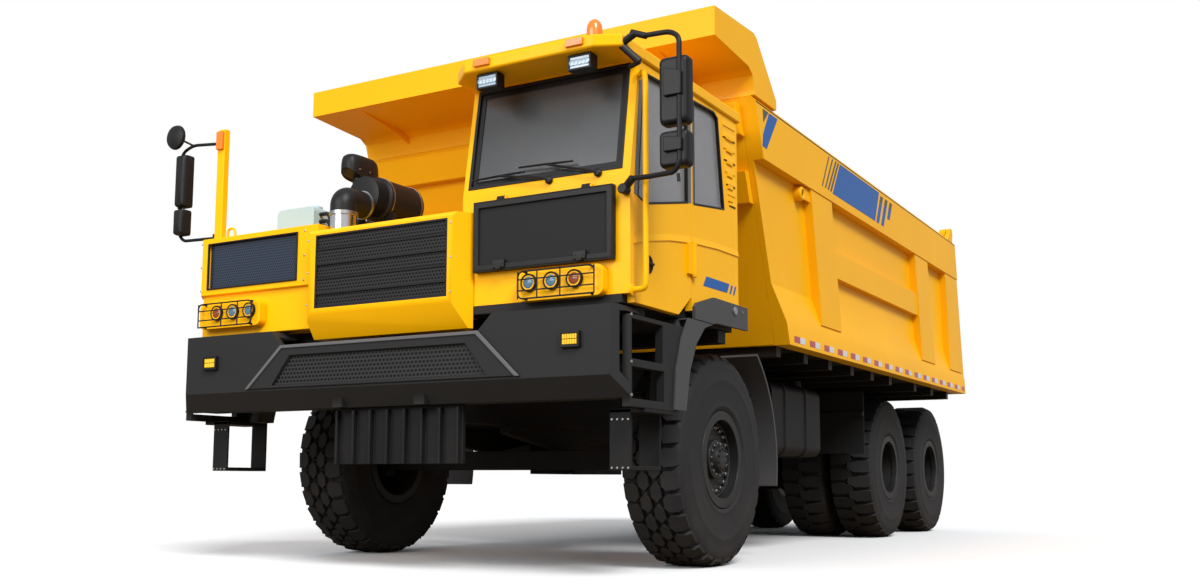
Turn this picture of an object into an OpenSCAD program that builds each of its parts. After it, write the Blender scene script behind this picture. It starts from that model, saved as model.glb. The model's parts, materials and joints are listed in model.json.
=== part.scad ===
// Rigid off-highway dump truck with an offset cab, three axles and twin rear tyres.
// X points to the vehicle's left, Y to its rear, Z up.
// Stations along Y are counted from the front axle.

/* [Running gear] */
// Outer diameter of every tyre
tyre_d = 1620; // [1560:10:1640]
// Section width of every tyre
tyre_w = 500; // [460:10:510]
// Diameter of the rim seat that the bead sits on
rim_d = 660; // [620:10:700]
// Distance from the front axle to the first rear axle
wheelbase = 5494; // [5400:1:5600]
// Gap between the tyres of the two rear axles
bogie_gap = 270; // [200:10:330]
// Distance between the middles of the two front tyres
front_track = 3168; // [3120:4:3200]
// Distance between the middles of the two twin pairs
rear_track = 2018; // [2010:2:2060]
// Gap between the two tyres of a twin pair
twin_gap = 78; // [70:2:100]
// How far the king pins lie inside the front tyres' middles
king_pin_offset = 104; // [96:1:130]
// Radius of the king pins
king_pin_r = 45; // [40:1:50]
// Radius of the front spindles
front_spindle_r = 70; // [60:1:75]
// Radius of the rear spindles
rear_spindle_r = 100; // [90:1:110]

/* [Frame] */
// Clear width between the two frame rails
rail_gap = 660; // [650:2:680]
// Width of a frame rail
rail_w = 90; // [70:2:94]
// Depth of a frame rail
rail_h = 380; // [340:5:400]
// Height of the rails' underside above the axles
rail_rise = 250; // [240:5:270]
// How far the rails reach behind the last axle
rail_overhang = 400; // [380:5:480]
// Radius of the towing bore at the rear
tow_bore_r = 30; // [20:1:35]

/* [Bumper] */
// Width over the bumper
bumper_w = 4020; // [3980:10:4060]
// How far the bumper's face stands ahead of the front axle
bumper_lead = 1952; // [1940:2:1960]
// Height of the bumper
bumper_h = 590; // [560:5:620]
// Wall thickness of the bumper
bumper_wall = 45; // [30:1:60]
// Thickness of the step panels at the bumper's ends
step_panel_t = 60; // [40:2:70]
// How far the ladders hang below the step panels
ladder_h = 396; // [300:2:440]

/* [Cab] */
// Height of the cab floor's underside above the front tyres
cab_gap = 150; // [140:1:180]
// Vehicle side of the cab, measured from the middle of the truck
cab_left = 2000; // [1985:5:2005]
// Width of the cab
cab_w = 1320; // [1280:5:1330]
// How far the cab's face stands ahead of the front axle
cab_lead = 1840; // [1830:2:1850]
// Length of the cab
cab_len = 1760; // [1740:5:1780]
// Height of the cab's walls above its underside
cab_h = 1635; // [1600:5:1660]
// Thickness of the cab's walls
cab_wall = 55; // [45:1:60]
// Running clearance around the door and the front lid
panel_gap = 6; // [5:0.5:8]
// Radius of the door's hinge pin
door_pin_r = 12; // [10:0.5:14]
// Radius of the front lid's hinge pins
lid_pin_r = 8; // [6:0.5:9]

/* [Hood and right box] */
// How far the grille's face stands ahead of the front axle
grille_lead = 1990; // [1980:2:2000]
// Height of the hood
hood_h = 710; // [690:5:730]
// Height of the right box
box_h = 790; // [770:5:810]
// Thickness of the hood's and the right box's walls
sheet_t = 40; // [25:1:45]

/* [Dump bed] */
// Outer width of the bed
bed_w = 4038; // [4020:2:4060]
// Height of the bed floor's underside above the rear tyres
bed_gap = 160; // [156:2:180]
// Height of the bed's side walls
bed_h = 1910; // [1860:5:1940]
// Station of the bed's front wall at its top
bed_front_y = 235; // [225:5:245]
// Length of the bed's side walls along their top
bed_len = 6815; // [6780:5:6830]
// Thickness of the bed's plates
bed_plate = 50; // [35:1:55]
// Radius of the bed's rear hinge pins
bed_pin_r = 45; // [40:1:50]
// Radius of the tailgate's hinge pins
gate_pin_r = 35; // [30:1:38]
// How far the canopy reaches ahead of the bed's front wall
canopy_reach = 758; // [700:2:780]

/* [Hoist] */
// Outer radius of the hoist barrels
barrel_r = 95; // [90:1:98]
// Wall thickness of each hoist stage
stage_t = 12; // [10:0.5:13]
// Radius of the hoist's base pin
hoist_pin_r = 40; // [35:1:42]

/* [Hidden] */
$fn = 64;
// Radial running clearance of pins and spindles
running = 0.05;
// Gap between pieces that sit on each other round a curve
seat_gap = 0.3;

// Heights of the running gear
axle_z = tyre_d / 2;
rail_z = axle_z + rail_rise;
rail_top = rail_z + rail_h;
cab_z = tyre_d + cab_gap;
bed_z = tyre_d + bed_gap;
bed_top = bed_z + bed_h;
hood_top = cab_z + hood_h;
box_top = cab_z + box_h;
bumper_top = cab_z - 15;
bumper_z = bumper_top - bumper_h;
bogie_spread = tyre_d + bogie_gap;
rail_in = rail_gap / 2;
rail_out = rail_in + rail_w;
rear_1_y = wheelbase;
rear_2_y = wheelbase + bogie_spread;
rail_front_y = -1700;
rail_end_y = rear_2_y + rail_overhang;
tow_lug = 100;
tail_end_y = rail_end_y + tow_lug;

// The origin lies on the ground below the middle of the length, from the visor to the last tyre
visor_lead = 220;
marker_t = 22;
front_axle_y = -(rear_2_y + tyre_d / 2 - cab_lead - visor_lead - marker_t) / 2;

// Tyres and rims, along the axle from the tyre's middle plane
seat_r = rim_d / 2;
barrel_half = tyre_w / 2 - 15;
flange_t = 20;
flange_h = 42;
rim_wall = 30;
front_tyre_x = front_track / 2;
king_pin_x = front_tyre_x - king_pin_offset;
twin_x = rear_track / 2;
twin_half = (tyre_w + twin_gap) / 2;

// Front knuckle, seen from the tyre's middle plane
beam_h = 160;
beam_w = 180;
boss_r = 110;
yoke_t = 50;
yoke_half = 75;
spine_in = king_pin_x - front_tyre_x + boss_r + 14;
spine_out = spine_in + 40;
spindle_end = 170;
hub_r = 150;
hub_in = spine_out + 6;
hub_out = 225;
disc_in = 110;
disc_t = 30;

// Rear axles
tube_r = 150;
banjo_r = 260;
nose = 330;
nose_r = 120;
tube_end_x = twin_x - twin_half - tyre_w / 2 - 10;
rear_hub_r = 200;
rear_hub_in = -400;
rear_cap_r = 160;
rear_cap_out = 250;
rear_spindle_out = 150;

// Cab stations and heights
cab_right = cab_left - cab_w;
cab_front_y = -cab_lead;
cab_rear_y = cab_front_y + cab_len;
cab_floor_t = 60;
cab_floor_top = cab_z + cab_floor_t;
cab_top = cab_z + cab_h;
screen_foot_z = cab_z + 830;
screen_rake = 128;
door_rear_y = cab_front_y + 910;
door_in = cab_left - cab_wall;
floor_left = door_in - panel_gap;
hinge_x = cab_left + 22;
hinge_y = door_rear_y + panel_gap / 2;
hinge_z = [cab_z + 310, cab_z + 530];
roof_t = 85;
roof_over = 20;
lid_x = [cab_right + 129, cab_left - 101];
lid_z = [cab_z + 281, cab_z + 770];
lid_t = 50;
lid_pin_y = cab_front_y - 22;
lid_pin_z = lid_z[1] + 16;
lid_hinges = [lid_x[0] + 210, lid_x[1] - 210];

// Bed stations and heights
bed_out = bed_w / 2;
bed_in = bed_out - 139;
bed_skin = bed_in + bed_plate;
bed_rear_top = bed_front_y + bed_len;
bed_rear_low = bed_rear_top + 330;
bed_front_low = bed_front_y + 455;
bed_knee = [bed_front_y + 285, bed_z + 490];
bed_step_z = bed_top - 535;
band_z = bed_top - 445;
rail_cap = 40;
bed_cap = bed_top + rail_cap;
floor_t = 60;
bed_pin_y = rear_2_y + 216;
bed_pin_z = rail_top + 120;
ear_x = [rail_in - 95, rail_in - 8];
gate_pin_y = bed_rear_top - 50;
gate_pin_z = bed_cap + 100;
gate_t = 90;
canopy_front_y = bed_front_y - canopy_reach;

// Hoist, from the base pin to the rod's eye, in the side view
hoist_x = 200;
hoist_base = [rear_1_y - 644, rail_z - 360];
hoist_eye = [hoist_base[0] - 100, bed_z - 90];
hoist_len = norm(hoist_eye - hoist_base);
hoist_tilt = atan2(hoist_eye[0] - hoist_base[0], hoist_eye[1] - hoist_base[1]);
hoist_eye_r = 80;
barrel_len = hoist_len - 130;
stage_slip = 0.1;
stage_r = [for (k = [0 : 3]) barrel_r - k * stage_t];

// Shared shapes

// A range of two distances about a middle
function span(middle, by) = [middle + by[0], middle + by[1]];

// A box between two corners, given as ranges along X, Y and Z
module block(x, y, z) {
    translate([x[0], y[0], z[0]]) cube([x[1] - x[0], y[1] - y[0], z[1] - z[0]]);
}

// A flat outline in the side view (Y, Z), thickened along X
module side_plate(x0, x1) {
    translate([x0, 0, 0]) rotate([90, 0, 90]) linear_extrude(x1 - x0) children();
}

// A flat outline in the front view (X, Z), thickened along Y
module front_plate(y0, y1) {
    translate([0, y1, 0]) rotate([90, 0, 0]) linear_extrude(y1 - y0) children();
}

// A round bar along X
module bar_x(x0, x1, r) {
    translate([x0, 0, 0]) rotate([0, 90, 0]) cylinder(h = x1 - x0, r = r);
}

// A round bar along Y
module bar_y(y0, y1, r) {
    translate([0, y1, 0]) rotate([90, 0, 0]) cylinder(h = y1 - y0, r = r);
}

// A round bar between two points
module bar(a, b, r) {
    d = b - a;
    translate(a) rotate([0, acos(d[2] / norm(d)), atan2(d[1], d[0])]) cylinder(h = norm(d), r = r);
}

// A bent tube through a list of points
module tube_run(points, r) {
    for (i = [0 : len(points) - 2]) bar(points[i], points[i + 1], r);
    for (i = [1 : len(points) - 2]) translate(points[i]) sphere(r = r);
}

// Straight tubes through a list of points, with a square clamp at each bend
module clamped_run(points, r) {
    for (i = [0 : len(points) - 2]) bar(points[i], points[i + 1], r);
    for (i = [1 : len(points) - 2]) translate(points[i]) cube(2.5 * r, center = true);
}

// A rectangle with round corners
module round_rect(low, high, r) {
    translate([low[0] + r, low[1]]) square([high[0] - low[0] - 2 * r, high[1] - low[1]]);
    translate([low[0], low[1] + r]) square([high[0] - low[0], high[1] - low[1] - 2 * r]);
    for (x = [low[0] + r, high[0] - r], y = [low[1] + r, high[1] - r]) translate([x, y]) circle(r = r);
}

// A turned profile, given as radius and distance along X
module turned_x() {
    rotate([0, 90, 0]) rotate_extrude() children();
}

module both_sides() {
    children();
    mirror([1, 0, 0]) children();
}

// Moves a piece from stations to the part's own frame
module placed() {
    translate([0, front_axle_y, 0]) children();
}

// Wheels

// One tyre, centred on its middle plane
module tyre() {
    half = tyre_w / 2;
    top = tyre_d / 2;
    bead = seat_r + seat_gap;
    lip = barrel_half - flange_t - seat_gap;
    wall = [
        [bead, lip], [seat_r + flange_h + 4, lip], [seat_r + flange_h + 5, half - 10],
        [seat_r + 0.45 * (top - seat_r), half], [top - 110, half - 4], [top - 28, half - 32],
        [top, half - 66]
    ];
    other = [for (i = [len(wall) - 1 : -1 : 0]) [wall[i][0], -wall[i][1]]];
    turned_x() polygon(concat(wall, other));
}

// The barrel of one rim, with a flange at each end
module rim_barrel() {
    inner = barrel_half - flange_t;
    turned_x() polygon([
        [seat_r - rim_wall, -barrel_half], [seat_r + flange_h, -barrel_half], [seat_r + flange_h, -inner],
        [seat_r, -inner], [seat_r, inner], [seat_r + flange_h, inner], [seat_r + flange_h, barrel_half],
        [seat_r - rim_wall, barrel_half]
    ]);
}

// Front rim with its dished disc and hub, outward along +X
module front_rim() {
    rim_barrel();
    difference() {
        union() {
            bar_x(disc_in, disc_in + disc_t, seat_r - rim_wall + 1);
            bar_x(hub_in, disc_in + disc_t + 45, hub_r);
            bar_x(disc_in, hub_out, hub_r - 55);
        }
        bar_x(hub_in - 1, spindle_end + 5, front_spindle_r + running);
    }
}

// Twin rims on one hub, outward along +X, centred between the two tyres
module twin_rims() {
    gap_half = twin_half - barrel_half;
    for (side = [-1, 1]) translate([side * twin_half, 0, 0]) rim_barrel();
    difference() {
        union() {
            bar_x(-gap_half - 1, gap_half + 1, seat_r);
            bar_x(rear_hub_in, 0, rear_hub_r);
            bar_x(0, rear_cap_out, rear_cap_r);
        }
        bar_x(rear_hub_in - 1, rear_spindle_out + 10, rear_spindle_r + running);
    }
}

module twin_tyres() {
    for (side = [-1, 1]) translate([side * twin_half, 0, 0]) tyre();
}

// Places a wheel at a station: side is 1 on the left and -1 on the right
module at_wheel(side, x, y) {
    placed() translate([side * x, y, axle_z]) mirror([side < 0 ? 1 : 0, 0, 0]) children();
}

module front_tyre_left() { color("#202020") at_wheel(1, front_tyre_x, 0) tyre(); }
module front_tyre_right() { color("#202020") at_wheel(-1, front_tyre_x, 0) tyre(); }
module front_rim_left() { color("#303030") at_wheel(1, front_tyre_x, 0) front_rim(); }
module front_rim_right() { color("#303030") at_wheel(-1, front_tyre_x, 0) front_rim(); }
module rear_tyres_1_left() { color("#202020") at_wheel(1, twin_x, rear_1_y) twin_tyres(); }
module rear_tyres_1_right() { color("#202020") at_wheel(-1, twin_x, rear_1_y) twin_tyres(); }
module rear_tyres_2_left() { color("#202020") at_wheel(1, twin_x, rear_2_y) twin_tyres(); }
module rear_tyres_2_right() { color("#202020") at_wheel(-1, twin_x, rear_2_y) twin_tyres(); }
module rear_rims_1_left() { color("#303030") at_wheel(1, twin_x, rear_1_y) twin_rims(); }
module rear_rims_1_right() { color("#303030") at_wheel(-1, twin_x, rear_1_y) twin_rims(); }
module rear_rims_2_left() { color("#303030") at_wheel(1, twin_x, rear_2_y) twin_rims(); }
module rear_rims_2_right() { color("#303030") at_wheel(-1, twin_x, rear_2_y) twin_rims(); }

// Steering knuckle with its king pin, yoke and spindle, outward along +X
module knuckle() {
    pin = king_pin_x - front_tyre_x;
    reach = beam_h / 2 + seat_gap;
    for (side = [0, 1]) mirror([0, 0, side]) {
        translate([pin, 0, reach]) cylinder(h = yoke_t, r = yoke_half);
        block([pin, spine_out], [-yoke_half, yoke_half], [reach, reach + yoke_t]);
    }
    translate([pin, 0, -reach - yoke_t]) cylinder(h = 2 * (reach + yoke_t), r = king_pin_r);
    block([spine_in, spine_out], [-yoke_half, yoke_half], [-reach - yoke_t, reach + yoke_t]);
    bar_x(spine_in, spindle_end, front_spindle_r);
}

module knuckle_left() { color("#404040") at_wheel(1, front_tyre_x, 0) knuckle(); }
module knuckle_right() { color("#404040") at_wheel(-1, front_tyre_x, 0) knuckle(); }

// Axles

// Front beam with king pin bosses and a pair of leaf springs
module front_axle() {
    color("#2b2b2b") placed() {
        spring_end = 850;
        spring_foot = 120;
        difference() {
            union() {
                block([-king_pin_x, king_pin_x], [-beam_w / 2, beam_w / 2],
                      [axle_z - beam_h / 2, axle_z + beam_h / 2]);
                both_sides() translate([king_pin_x, 0, axle_z - beam_h / 2])
                    cylinder(h = beam_h, r = boss_r);
            }
            both_sides() translate([king_pin_x, 0, 0]) cylinder(h = tyre_d, r = king_pin_r + running);
        }
        both_sides() side_plate(rail_in, rail_out) polygon([
            [-spring_end, rail_z], [-spring_end, rail_z - 60], [-spring_foot, axle_z + beam_h / 2],
            [spring_foot, axle_z + beam_h / 2], [spring_end, rail_z - 60], [spring_end, rail_z]
        ]);
    }
}

// One driven axle with its spindles
module drive_axle() {
    bar_x(-nose_r - 30, nose_r + 30, banjo_r);
    bar_y(-nose, nose, nose_r);
    bar_x(-tube_end_x, tube_end_x, tube_r);
    bar_x(-twin_x - rear_spindle_out, twin_x + rear_spindle_out, rear_spindle_r);
}

// The two driven axles and the springs that balance them
module rear_axles() {
    color("#2b2b2b") placed() {
        for (y = [rear_1_y, rear_2_y]) translate([0, y, axle_z]) drive_axle();
        middle = (rear_1_y + rear_2_y) / 2;
        trunnion = 110;
        both_sides() {
            block([rail_in, rail_out], [rear_1_y - tube_r, rear_2_y + tube_r],
                [axle_z + tube_r - 12, rail_z]);
            block([rail_in, rail_out], [middle - trunnion, middle + trunnion],
                [axle_z - trunnion, rail_z]);
        }
        translate([0, middle, axle_z + 135]) bar_x(-rail_in, rail_in, trunnion / 2);
    }
}

// Frame

outrigger_z = [cab_z - 100, cab_z];
front_outrigger = [-1640, -1500];
rear_outrigger = [-320, -180];
outrigger_end = 1930;
cross_stations = [1500, 3000, rear_1_y - 1094, rear_1_y - 150, rear_1_y + 945];

// The two rails with the bed's hinge brackets and pins
module frame_rails() {
    color("#262626") placed() both_sides() {
        block([rail_in, rail_out], [rail_front_y, rail_end_y], [rail_z, rail_top]);
        side_plate(rail_in, rail_out) {
            polygon([
                [bed_pin_y - 100, rail_top - 1], [bed_pin_y + 100, rail_top - 1],
                [bed_pin_y + 70, bed_pin_z], [bed_pin_y - 70, bed_pin_z]
            ]);
            translate([bed_pin_y, bed_pin_z]) circle(r = 80);
        }
        translate([0, bed_pin_y, bed_pin_z]) bar_x(ear_x[0] - 6, rail_out, bed_pin_r);
    }
}

// Members between the rails, the last one with the tow lug
module cross_members() {
    color("#262626") placed() difference() {
        union() {
            for (y = cross_stations)
                block([-rail_in, rail_in], [y - 60, y + 60], [rail_z + 100, rail_top - 90]);
            block([-rail_in, rail_in], [rail_end_y - 90, rail_end_y], [rail_z, rail_top]);
            block([-rail_in, rail_in], [rail_front_y, rail_front_y + 90], [rail_z, rail_top - 100]);
            block([-80, 80], [rail_end_y - 1, tail_end_y], [rail_z + 110, rail_z + 210]);
        }
        translate([0, tail_end_y - 50, rail_z]) cylinder(h = rail_h, r = tow_bore_r);
    }
}

// Beams that carry the cab, the hood and the right box, on uprights from the rails
module outriggers() {
    color("#262626") placed() {
        both_sides() {
            for (y = [front_outrigger, rear_outrigger])
                block([rail_in, rail_out], y, [rail_top, outrigger_z[0] + 1]);
            block([rail_in, outrigger_end], rear_outrigger, outrigger_z);
        }
        block([-outrigger_end, outrigger_end], front_outrigger, outrigger_z);
    }
}

// Hangers below the rails with the hoist's base pin
module hoist_mount() {
    color("#262626") placed() {
        both_sides()
            block([rail_in, rail_out], span(hoist_base[0], [-110, 110]), [hoist_base[1] - 70, rail_z]);
        translate([0, hoist_base[0], hoist_base[1]]) bar_x(-rail_in - 1, rail_in + 1, hoist_pin_r);
    }
}

// Powertrain

engine = [[-rail_in + 10, rail_in - 10], [-1150, 450], [rail_z + 20, cab_z + 380]];
gearbox_end = 1300;

// Radiator, engine, gearbox and propeller shafts as plain blocks and bars
module powertrain() {
    color("#3a3d40") placed() {
        block(engine[0], engine[1], engine[2]);
        for (y = [-700, 200])
            block([-rail_in, rail_in], [y, y + 120], [rail_z + 120, rail_z + 220]);
        block([-230, 230], [engine[1][1], gearbox_end], [axle_z - 110, rail_z + 190]);
        translate([0, 0, axle_z]) {
            bar_y(gearbox_end, rear_1_y - nose, 60);
            bar_y(rear_1_y + nose, rear_2_y - nose, 60);
        }
        block([-540, 540], front_outrigger, [outrigger_z[1], hood_top - 80]);
        bar_a = front_outrigger[1];
        translate([0, 0, engine[2][0] + 620]) bar_y(bar_a, engine[1][0], 90);
    }
}

// Bumper, steps and guard

bumper_y = -bumper_lead;
bumper_rear = rail_front_y;
bumper_half = bumper_w / 2;
bumper_bevel = 95;
slope_z = bumper_z + 141;
panel_z = bumper_z - 57;
panel_rear = -1175;
notch_half = [900, 1010];
notch_z = bumper_top - 110;
foot_holes = [[[-1836, -1400], [bumper_z + 247, bumper_top - 88]],
    [[-1836, -1382], [bumper_z - 5, bumper_z + 197]]];

// The bumper's bar seen from the side, as a channel open to the rear
module bumper_section() {
    t = bumper_wall;
    polygon([
        [bumper_y, slope_z], [bumper_y, bumper_top], [bumper_rear, bumper_top],
        [bumper_rear, bumper_top - t],
        [bumper_y + t, bumper_top - t], [bumper_y + t, slope_z + t / 2],
        [bumper_y + 102 + t / 2, bumper_z + t],
        [bumper_rear, bumper_z + t], [bumper_rear, bumper_z], [bumper_y + 102, bumper_z]
    ]);
}

// Outline of the bumper from above, with bevelled corners
module bumper_plan() {
    polygon([
        [-bumper_half, bumper_rear], [-bumper_half, bumper_y + bumper_bevel],
        [-bumper_half + bumper_bevel, bumper_y],
        [bumper_half - bumper_bevel, bumper_y], [bumper_half, bumper_y + bumper_bevel],
        [bumper_half, bumper_rear]
    ]);
}

// Outline of the bumper from the front, lower in the middle for the hood
module bumper_front() {
    polygon([
        [-bumper_half, bumper_z - 1], [-bumper_half, bumper_top - 60], [-bumper_half + 60, bumper_top],
        [-notch_half[1], bumper_top], [-notch_half[0], notch_z], [notch_half[0], notch_z],
        [notch_half[1], bumper_top], [bumper_half - 60, bumper_top], [bumper_half, bumper_top - 60],
        [bumper_half, bumper_z - 1]
    ]);
}

module bumper() {
    color("#36383a") placed() difference() {
        union() {
            intersection() {
                side_plate(-bumper_half, bumper_half) bumper_section();
                translate([0, 0, bumper_z - 1]) linear_extrude(bumper_top) bumper_plan();
                front_plate(bumper_y, bumper_rear) bumper_front();
            }
            block([-notch_half[0], notch_half[0]], [bumper_y + 1, bumper_y + bumper_wall],
                [notch_z - 60, notch_z]);
            both_sides() {
                block([rail_in, rail_out], [bumper_y + bumper_wall - 1, bumper_rear],
                    [bumper_z, rail_top]);
                side_plate(bumper_half - step_panel_t, bumper_half) polygon([
                    [bumper_y + bumper_bevel, panel_z], [bumper_y + bumper_bevel, bumper_top - 60],
                    [panel_rear + 190, bumper_top - 60], [panel_rear, panel_z]
                ]);
            }
        }
        for (hole = foot_holes)
            both_sides() block([bumper_half - 2 * step_panel_t - 60, bumper_half + 10], hole[0], hole[1]);
        front_plate(bumper_y - 1, bumper_y + 20) polygon([
            [-795, notch_z - 90], [795, notch_z - 90], [970, slope_z + 40], [-970, slope_z + 40]
        ]);
    }
}

// Finned guard below the bumper
module front_guard() {
    color("#1f1f1f") placed() {
        half = 620;
        bottom = bumper_z - 353;
        face = [-1790, -1755];
        ribs = 7;
        block([-half, half], face, [bottom, bumper_z]);
        for (i = [0 : ribs]) {
            x = -half + 20 + i * (2 * half - 40) / ribs;
            block([x - 12, x + 12], [face[0] - 45, face[0]], [bottom, bumper_z - 20]);
        }
    }
}

// A bolted step ladder below each end of the bumper
module ladders() {
    color("#2a2a2a") placed() both_sides() {
        x = [bumper_half - 160, bumper_half];
        foot = panel_z - ladder_h;
        for (y = [-1850, -1435]) block(x, [y, y + 20], [foot, panel_z]);
        block(x, [-1850, -1415], [foot, foot + 28]);
    }
}

// Hood and grille

hood_x = [-640, 785];
hood_face_x = [-607, 702];
hood_foot = cab_z;
grille_y = -grille_lead;
grille_x = [-550, 660];
grille_z = [hood_top - 590, hood_top - 45];
hood_rear_y = -300;

hood_side_x = cab_right - panel_gap;
hood_lip_y = cab_front_y - panel_gap;
hood_lip = [rail_front_y - 40, hood_foot - 95];

// Outline of the hood from above; its left front corner laps the cab's face
module hood_plan() {
    polygon([
        [hood_x[0], hood_rear_y], [hood_x[0], grille_y + 33], [hood_face_x[0], grille_y],
        [hood_face_x[1], grille_y], [hood_x[1], hood_lip_y - 4], [hood_x[1], hood_lip_y],
        [hood_side_x, hood_lip_y], [hood_side_x, hood_rear_y]
    ]);
}

// The hollow inside the hood from above
module hood_plan_in() {
    t = sheet_t;
    polygon([
        [hood_x[0] + t, hood_rear_y + t], [hood_x[0] + t, grille_y + t + 5],
        [hood_x[0] + t + 5, grille_y + t],
        [hood_face_x[1] - t / 2, grille_y + t], [hood_x[1] - 1.25 * t, hood_lip_y - t],
        [hood_side_x - t, hood_lip_y - t], [hood_side_x - t, hood_rear_y + t]
    ]);
}

// Outline of the hood from the side
module hood_section() {
    polygon([
        [grille_y, hood_foot + 75], [grille_y, hood_top - 30], [grille_y + 30, hood_top],
        [hood_rear_y, hood_top],
        [hood_rear_y, hood_foot], [rail_front_y, hood_foot], [rail_front_y, hood_lip[1]],
        [grille_y + 110, hood_lip[1]]
    ]);
}

// The hollow inside the hood from the side, open below and behind
module hood_section_in() {
    t = sheet_t;
    polygon([
        [grille_y + t, hood_foot + 87], [grille_y + t, hood_top - t - 8],
        [grille_y + t + 8, hood_top - t],
        [hood_rear_y + t, hood_top - t], [hood_rear_y + t, hood_lip[1] - t],
        [hood_lip[0], hood_lip[1] - t],
        [hood_lip[0], hood_lip[1] + t], [grille_y + 132, hood_lip[1] + t]
    ]);
}

module hood() {
    color("#f0b000") placed() difference() {
        intersection() {
            linear_extrude(2 * hood_top) hood_plan();
            side_plate(hood_x[0] - 1, hood_x[1] + 1) hood_section();
        }
        intersection() {
            linear_extrude(2 * hood_top) hood_plan_in();
            side_plate(hood_x[0] - 1, hood_x[1] + 1) hood_section_in();
        }
        block(grille_x, [grille_y - 1, grille_y + 2 * sheet_t], grille_z);
    }
}

// Banded grille in the hood and the mesh in the bumper
module grille() {
    color("#1a1a1a") placed() {
        bands = 5;
        pitch = (grille_z[1] - grille_z[0]) / bands;
        back = [grille_y + 26, grille_y + sheet_t];
        block(grille_x, back, grille_z);
        for (i = [0 : bands - 1])
            block(grille_x, [grille_y + (i % 2 == 0 ? 14 : 4), back[0]],
                span(grille_z[0] + i * pitch, [8, pitch - 8]));
        front_plate(bumper_y + 8, bumper_y + 20) polygon([
            [-795, notch_z - 90], [795, notch_z - 90], [970, slope_z + 40], [-970, slope_z + 40]
        ]);
    }
}

// Right box

box_x = [-cab_left, hood_x[0] - panel_gap];
box_y = [cab_front_y, -150];
box_bevel = 120;
box_split = cab_z + 330;
box_window = [[-1805, -850], [box_split + 50, box_top - 50]];
post_x = [-1870, -1725];
post_y = [-1790, -1690];
post_top = cab_z + 1700;

module box_plan(w, lead) {
    polygon([
        [box_x[0] + w, box_y[1] - w], [box_x[0] + w, box_y[0] + box_bevel + w / 2 - lead],
        [box_x[0] + box_bevel + w / 2, box_y[0] + w - lead], [box_x[1] - w, box_y[0] + w - lead],
        [box_x[1] - w, box_y[1] - w]
    ]);
}

// Equipment box beside the hood, with a window frame and the mirror post
module right_box() {
    color("#f0b000") placed() {
        difference() {
            union() {
                translate([0, 0, cab_z]) linear_extrude(box_top - cab_z) box_plan(0, 0);
                translate([0, 0, box_split]) linear_extrude(box_top - box_split) box_plan(0, 30);
            }
            translate([0, 0, cab_z + sheet_t]) linear_extrude(box_top - cab_z - 2 * sheet_t)
                box_plan(sheet_t, 0);
            block(box_window[0], [box_y[0] - 100, box_y[0] + 2 * sheet_t], box_window[1]);
        }
        block(post_x, post_y, [box_top, post_top]);
    }
}

// Dark mesh behind the right box's window frame
module box_mesh() {
    color("#101828") placed()
        block(box_window[0], [box_y[0] - 10, box_y[0] + 10], box_window[1]);
}

// Cab

screen_top_y = cab_front_y + screen_rake;
screen_x = [cab_right + 50, cab_left - 70];
screen_z = [screen_foot_z + 60, cab_top - 25];
window_front = cab_front_y + 105;
window_foot = cab_z + 680;

// Station of the cab's face at a height
function face_y(z) = cab_front_y + screen_rake * max(0, z - screen_foot_z) / (cab_top - screen_foot_z);

// The front wall from the side
module front_section() {
    polygon([
        [cab_front_y, cab_floor_top], [cab_front_y, screen_foot_z], [screen_top_y, cab_top],
        [screen_top_y + cab_wall, cab_top], [cab_front_y + cab_wall, screen_foot_z],
        [cab_front_y + cab_wall, cab_floor_top]
    ]);
}

module cab_floor() {
    color("#8a6a10") placed() block([cab_right, floor_left], [cab_front_y, cab_rear_y],
        [cab_z, cab_floor_top]);
}

// Front wall with the windshield opening, the bay behind the lid and the lid's hinge pins
module cab_front() {
    color("#f0b000") placed() {
        difference() {
            side_plate(cab_right, cab_left) front_section();
            block(screen_x, [cab_front_y - 10, cab_front_y + 300], screen_z);
            block(lid_x + [60, -60], [cab_front_y - 10, cab_front_y + 30], lid_z + [60, -60]);
        }
        for (x = lid_hinges) {
            translate([0, lid_pin_y, lid_pin_z]) bar_x(x - 45, x + 45, lid_pin_r);
            for (side = [-1, 1])
                block(span(x + 38 * side, [-7, 7]), [lid_pin_y - 8, cab_front_y],
                    span(lid_pin_z, [-8, 8]));
        }
    }
}

module cab_rear() {
    color("#f0b000") placed() difference() {
        block([cab_right, cab_left], [cab_rear_y - cab_wall, cab_rear_y], [cab_floor_top, cab_top]);
        block([cab_right + 250, cab_left - 250], [cab_rear_y - 100, cab_rear_y + 10],
            [window_foot + 200, cab_top - 130]);
    }
}

// Side outline of the cab behind the front wall, between two stations' edges
module cab_side(rear, low, gap) {
    polygon([
        [cab_front_y + cab_wall + gap, low], [cab_front_y + cab_wall + gap, screen_foot_z],
        [screen_top_y + cab_wall + gap, cab_top - gap], [rear, cab_top - gap], [rear, low]
    ]);
}

module right_window() {
    polygon([[-1500, window_foot + 150], [-1430, cab_top - 120], [-520, cab_top - 120],
        [-520, window_foot + 150]]);
}

module cab_right_wall() {
    color("#f0b000") placed() difference() {
        side_plate(cab_right, cab_right + cab_wall) cab_side(cab_rear_y - cab_wall, cab_floor_top, 0);
        side_plate(cab_right - 10, cab_right + cab_wall + 10) right_window();
    }
}

// Outline of the quarter window behind the door
module quarter_window() {
    polygon([
        [door_rear_y + 55, window_foot + 150], [door_rear_y + 55, cab_top - 45], [-520, cab_top - 30],
        [-450, cab_top - 60], [-345, window_foot + 220]
    ]);
}

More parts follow.
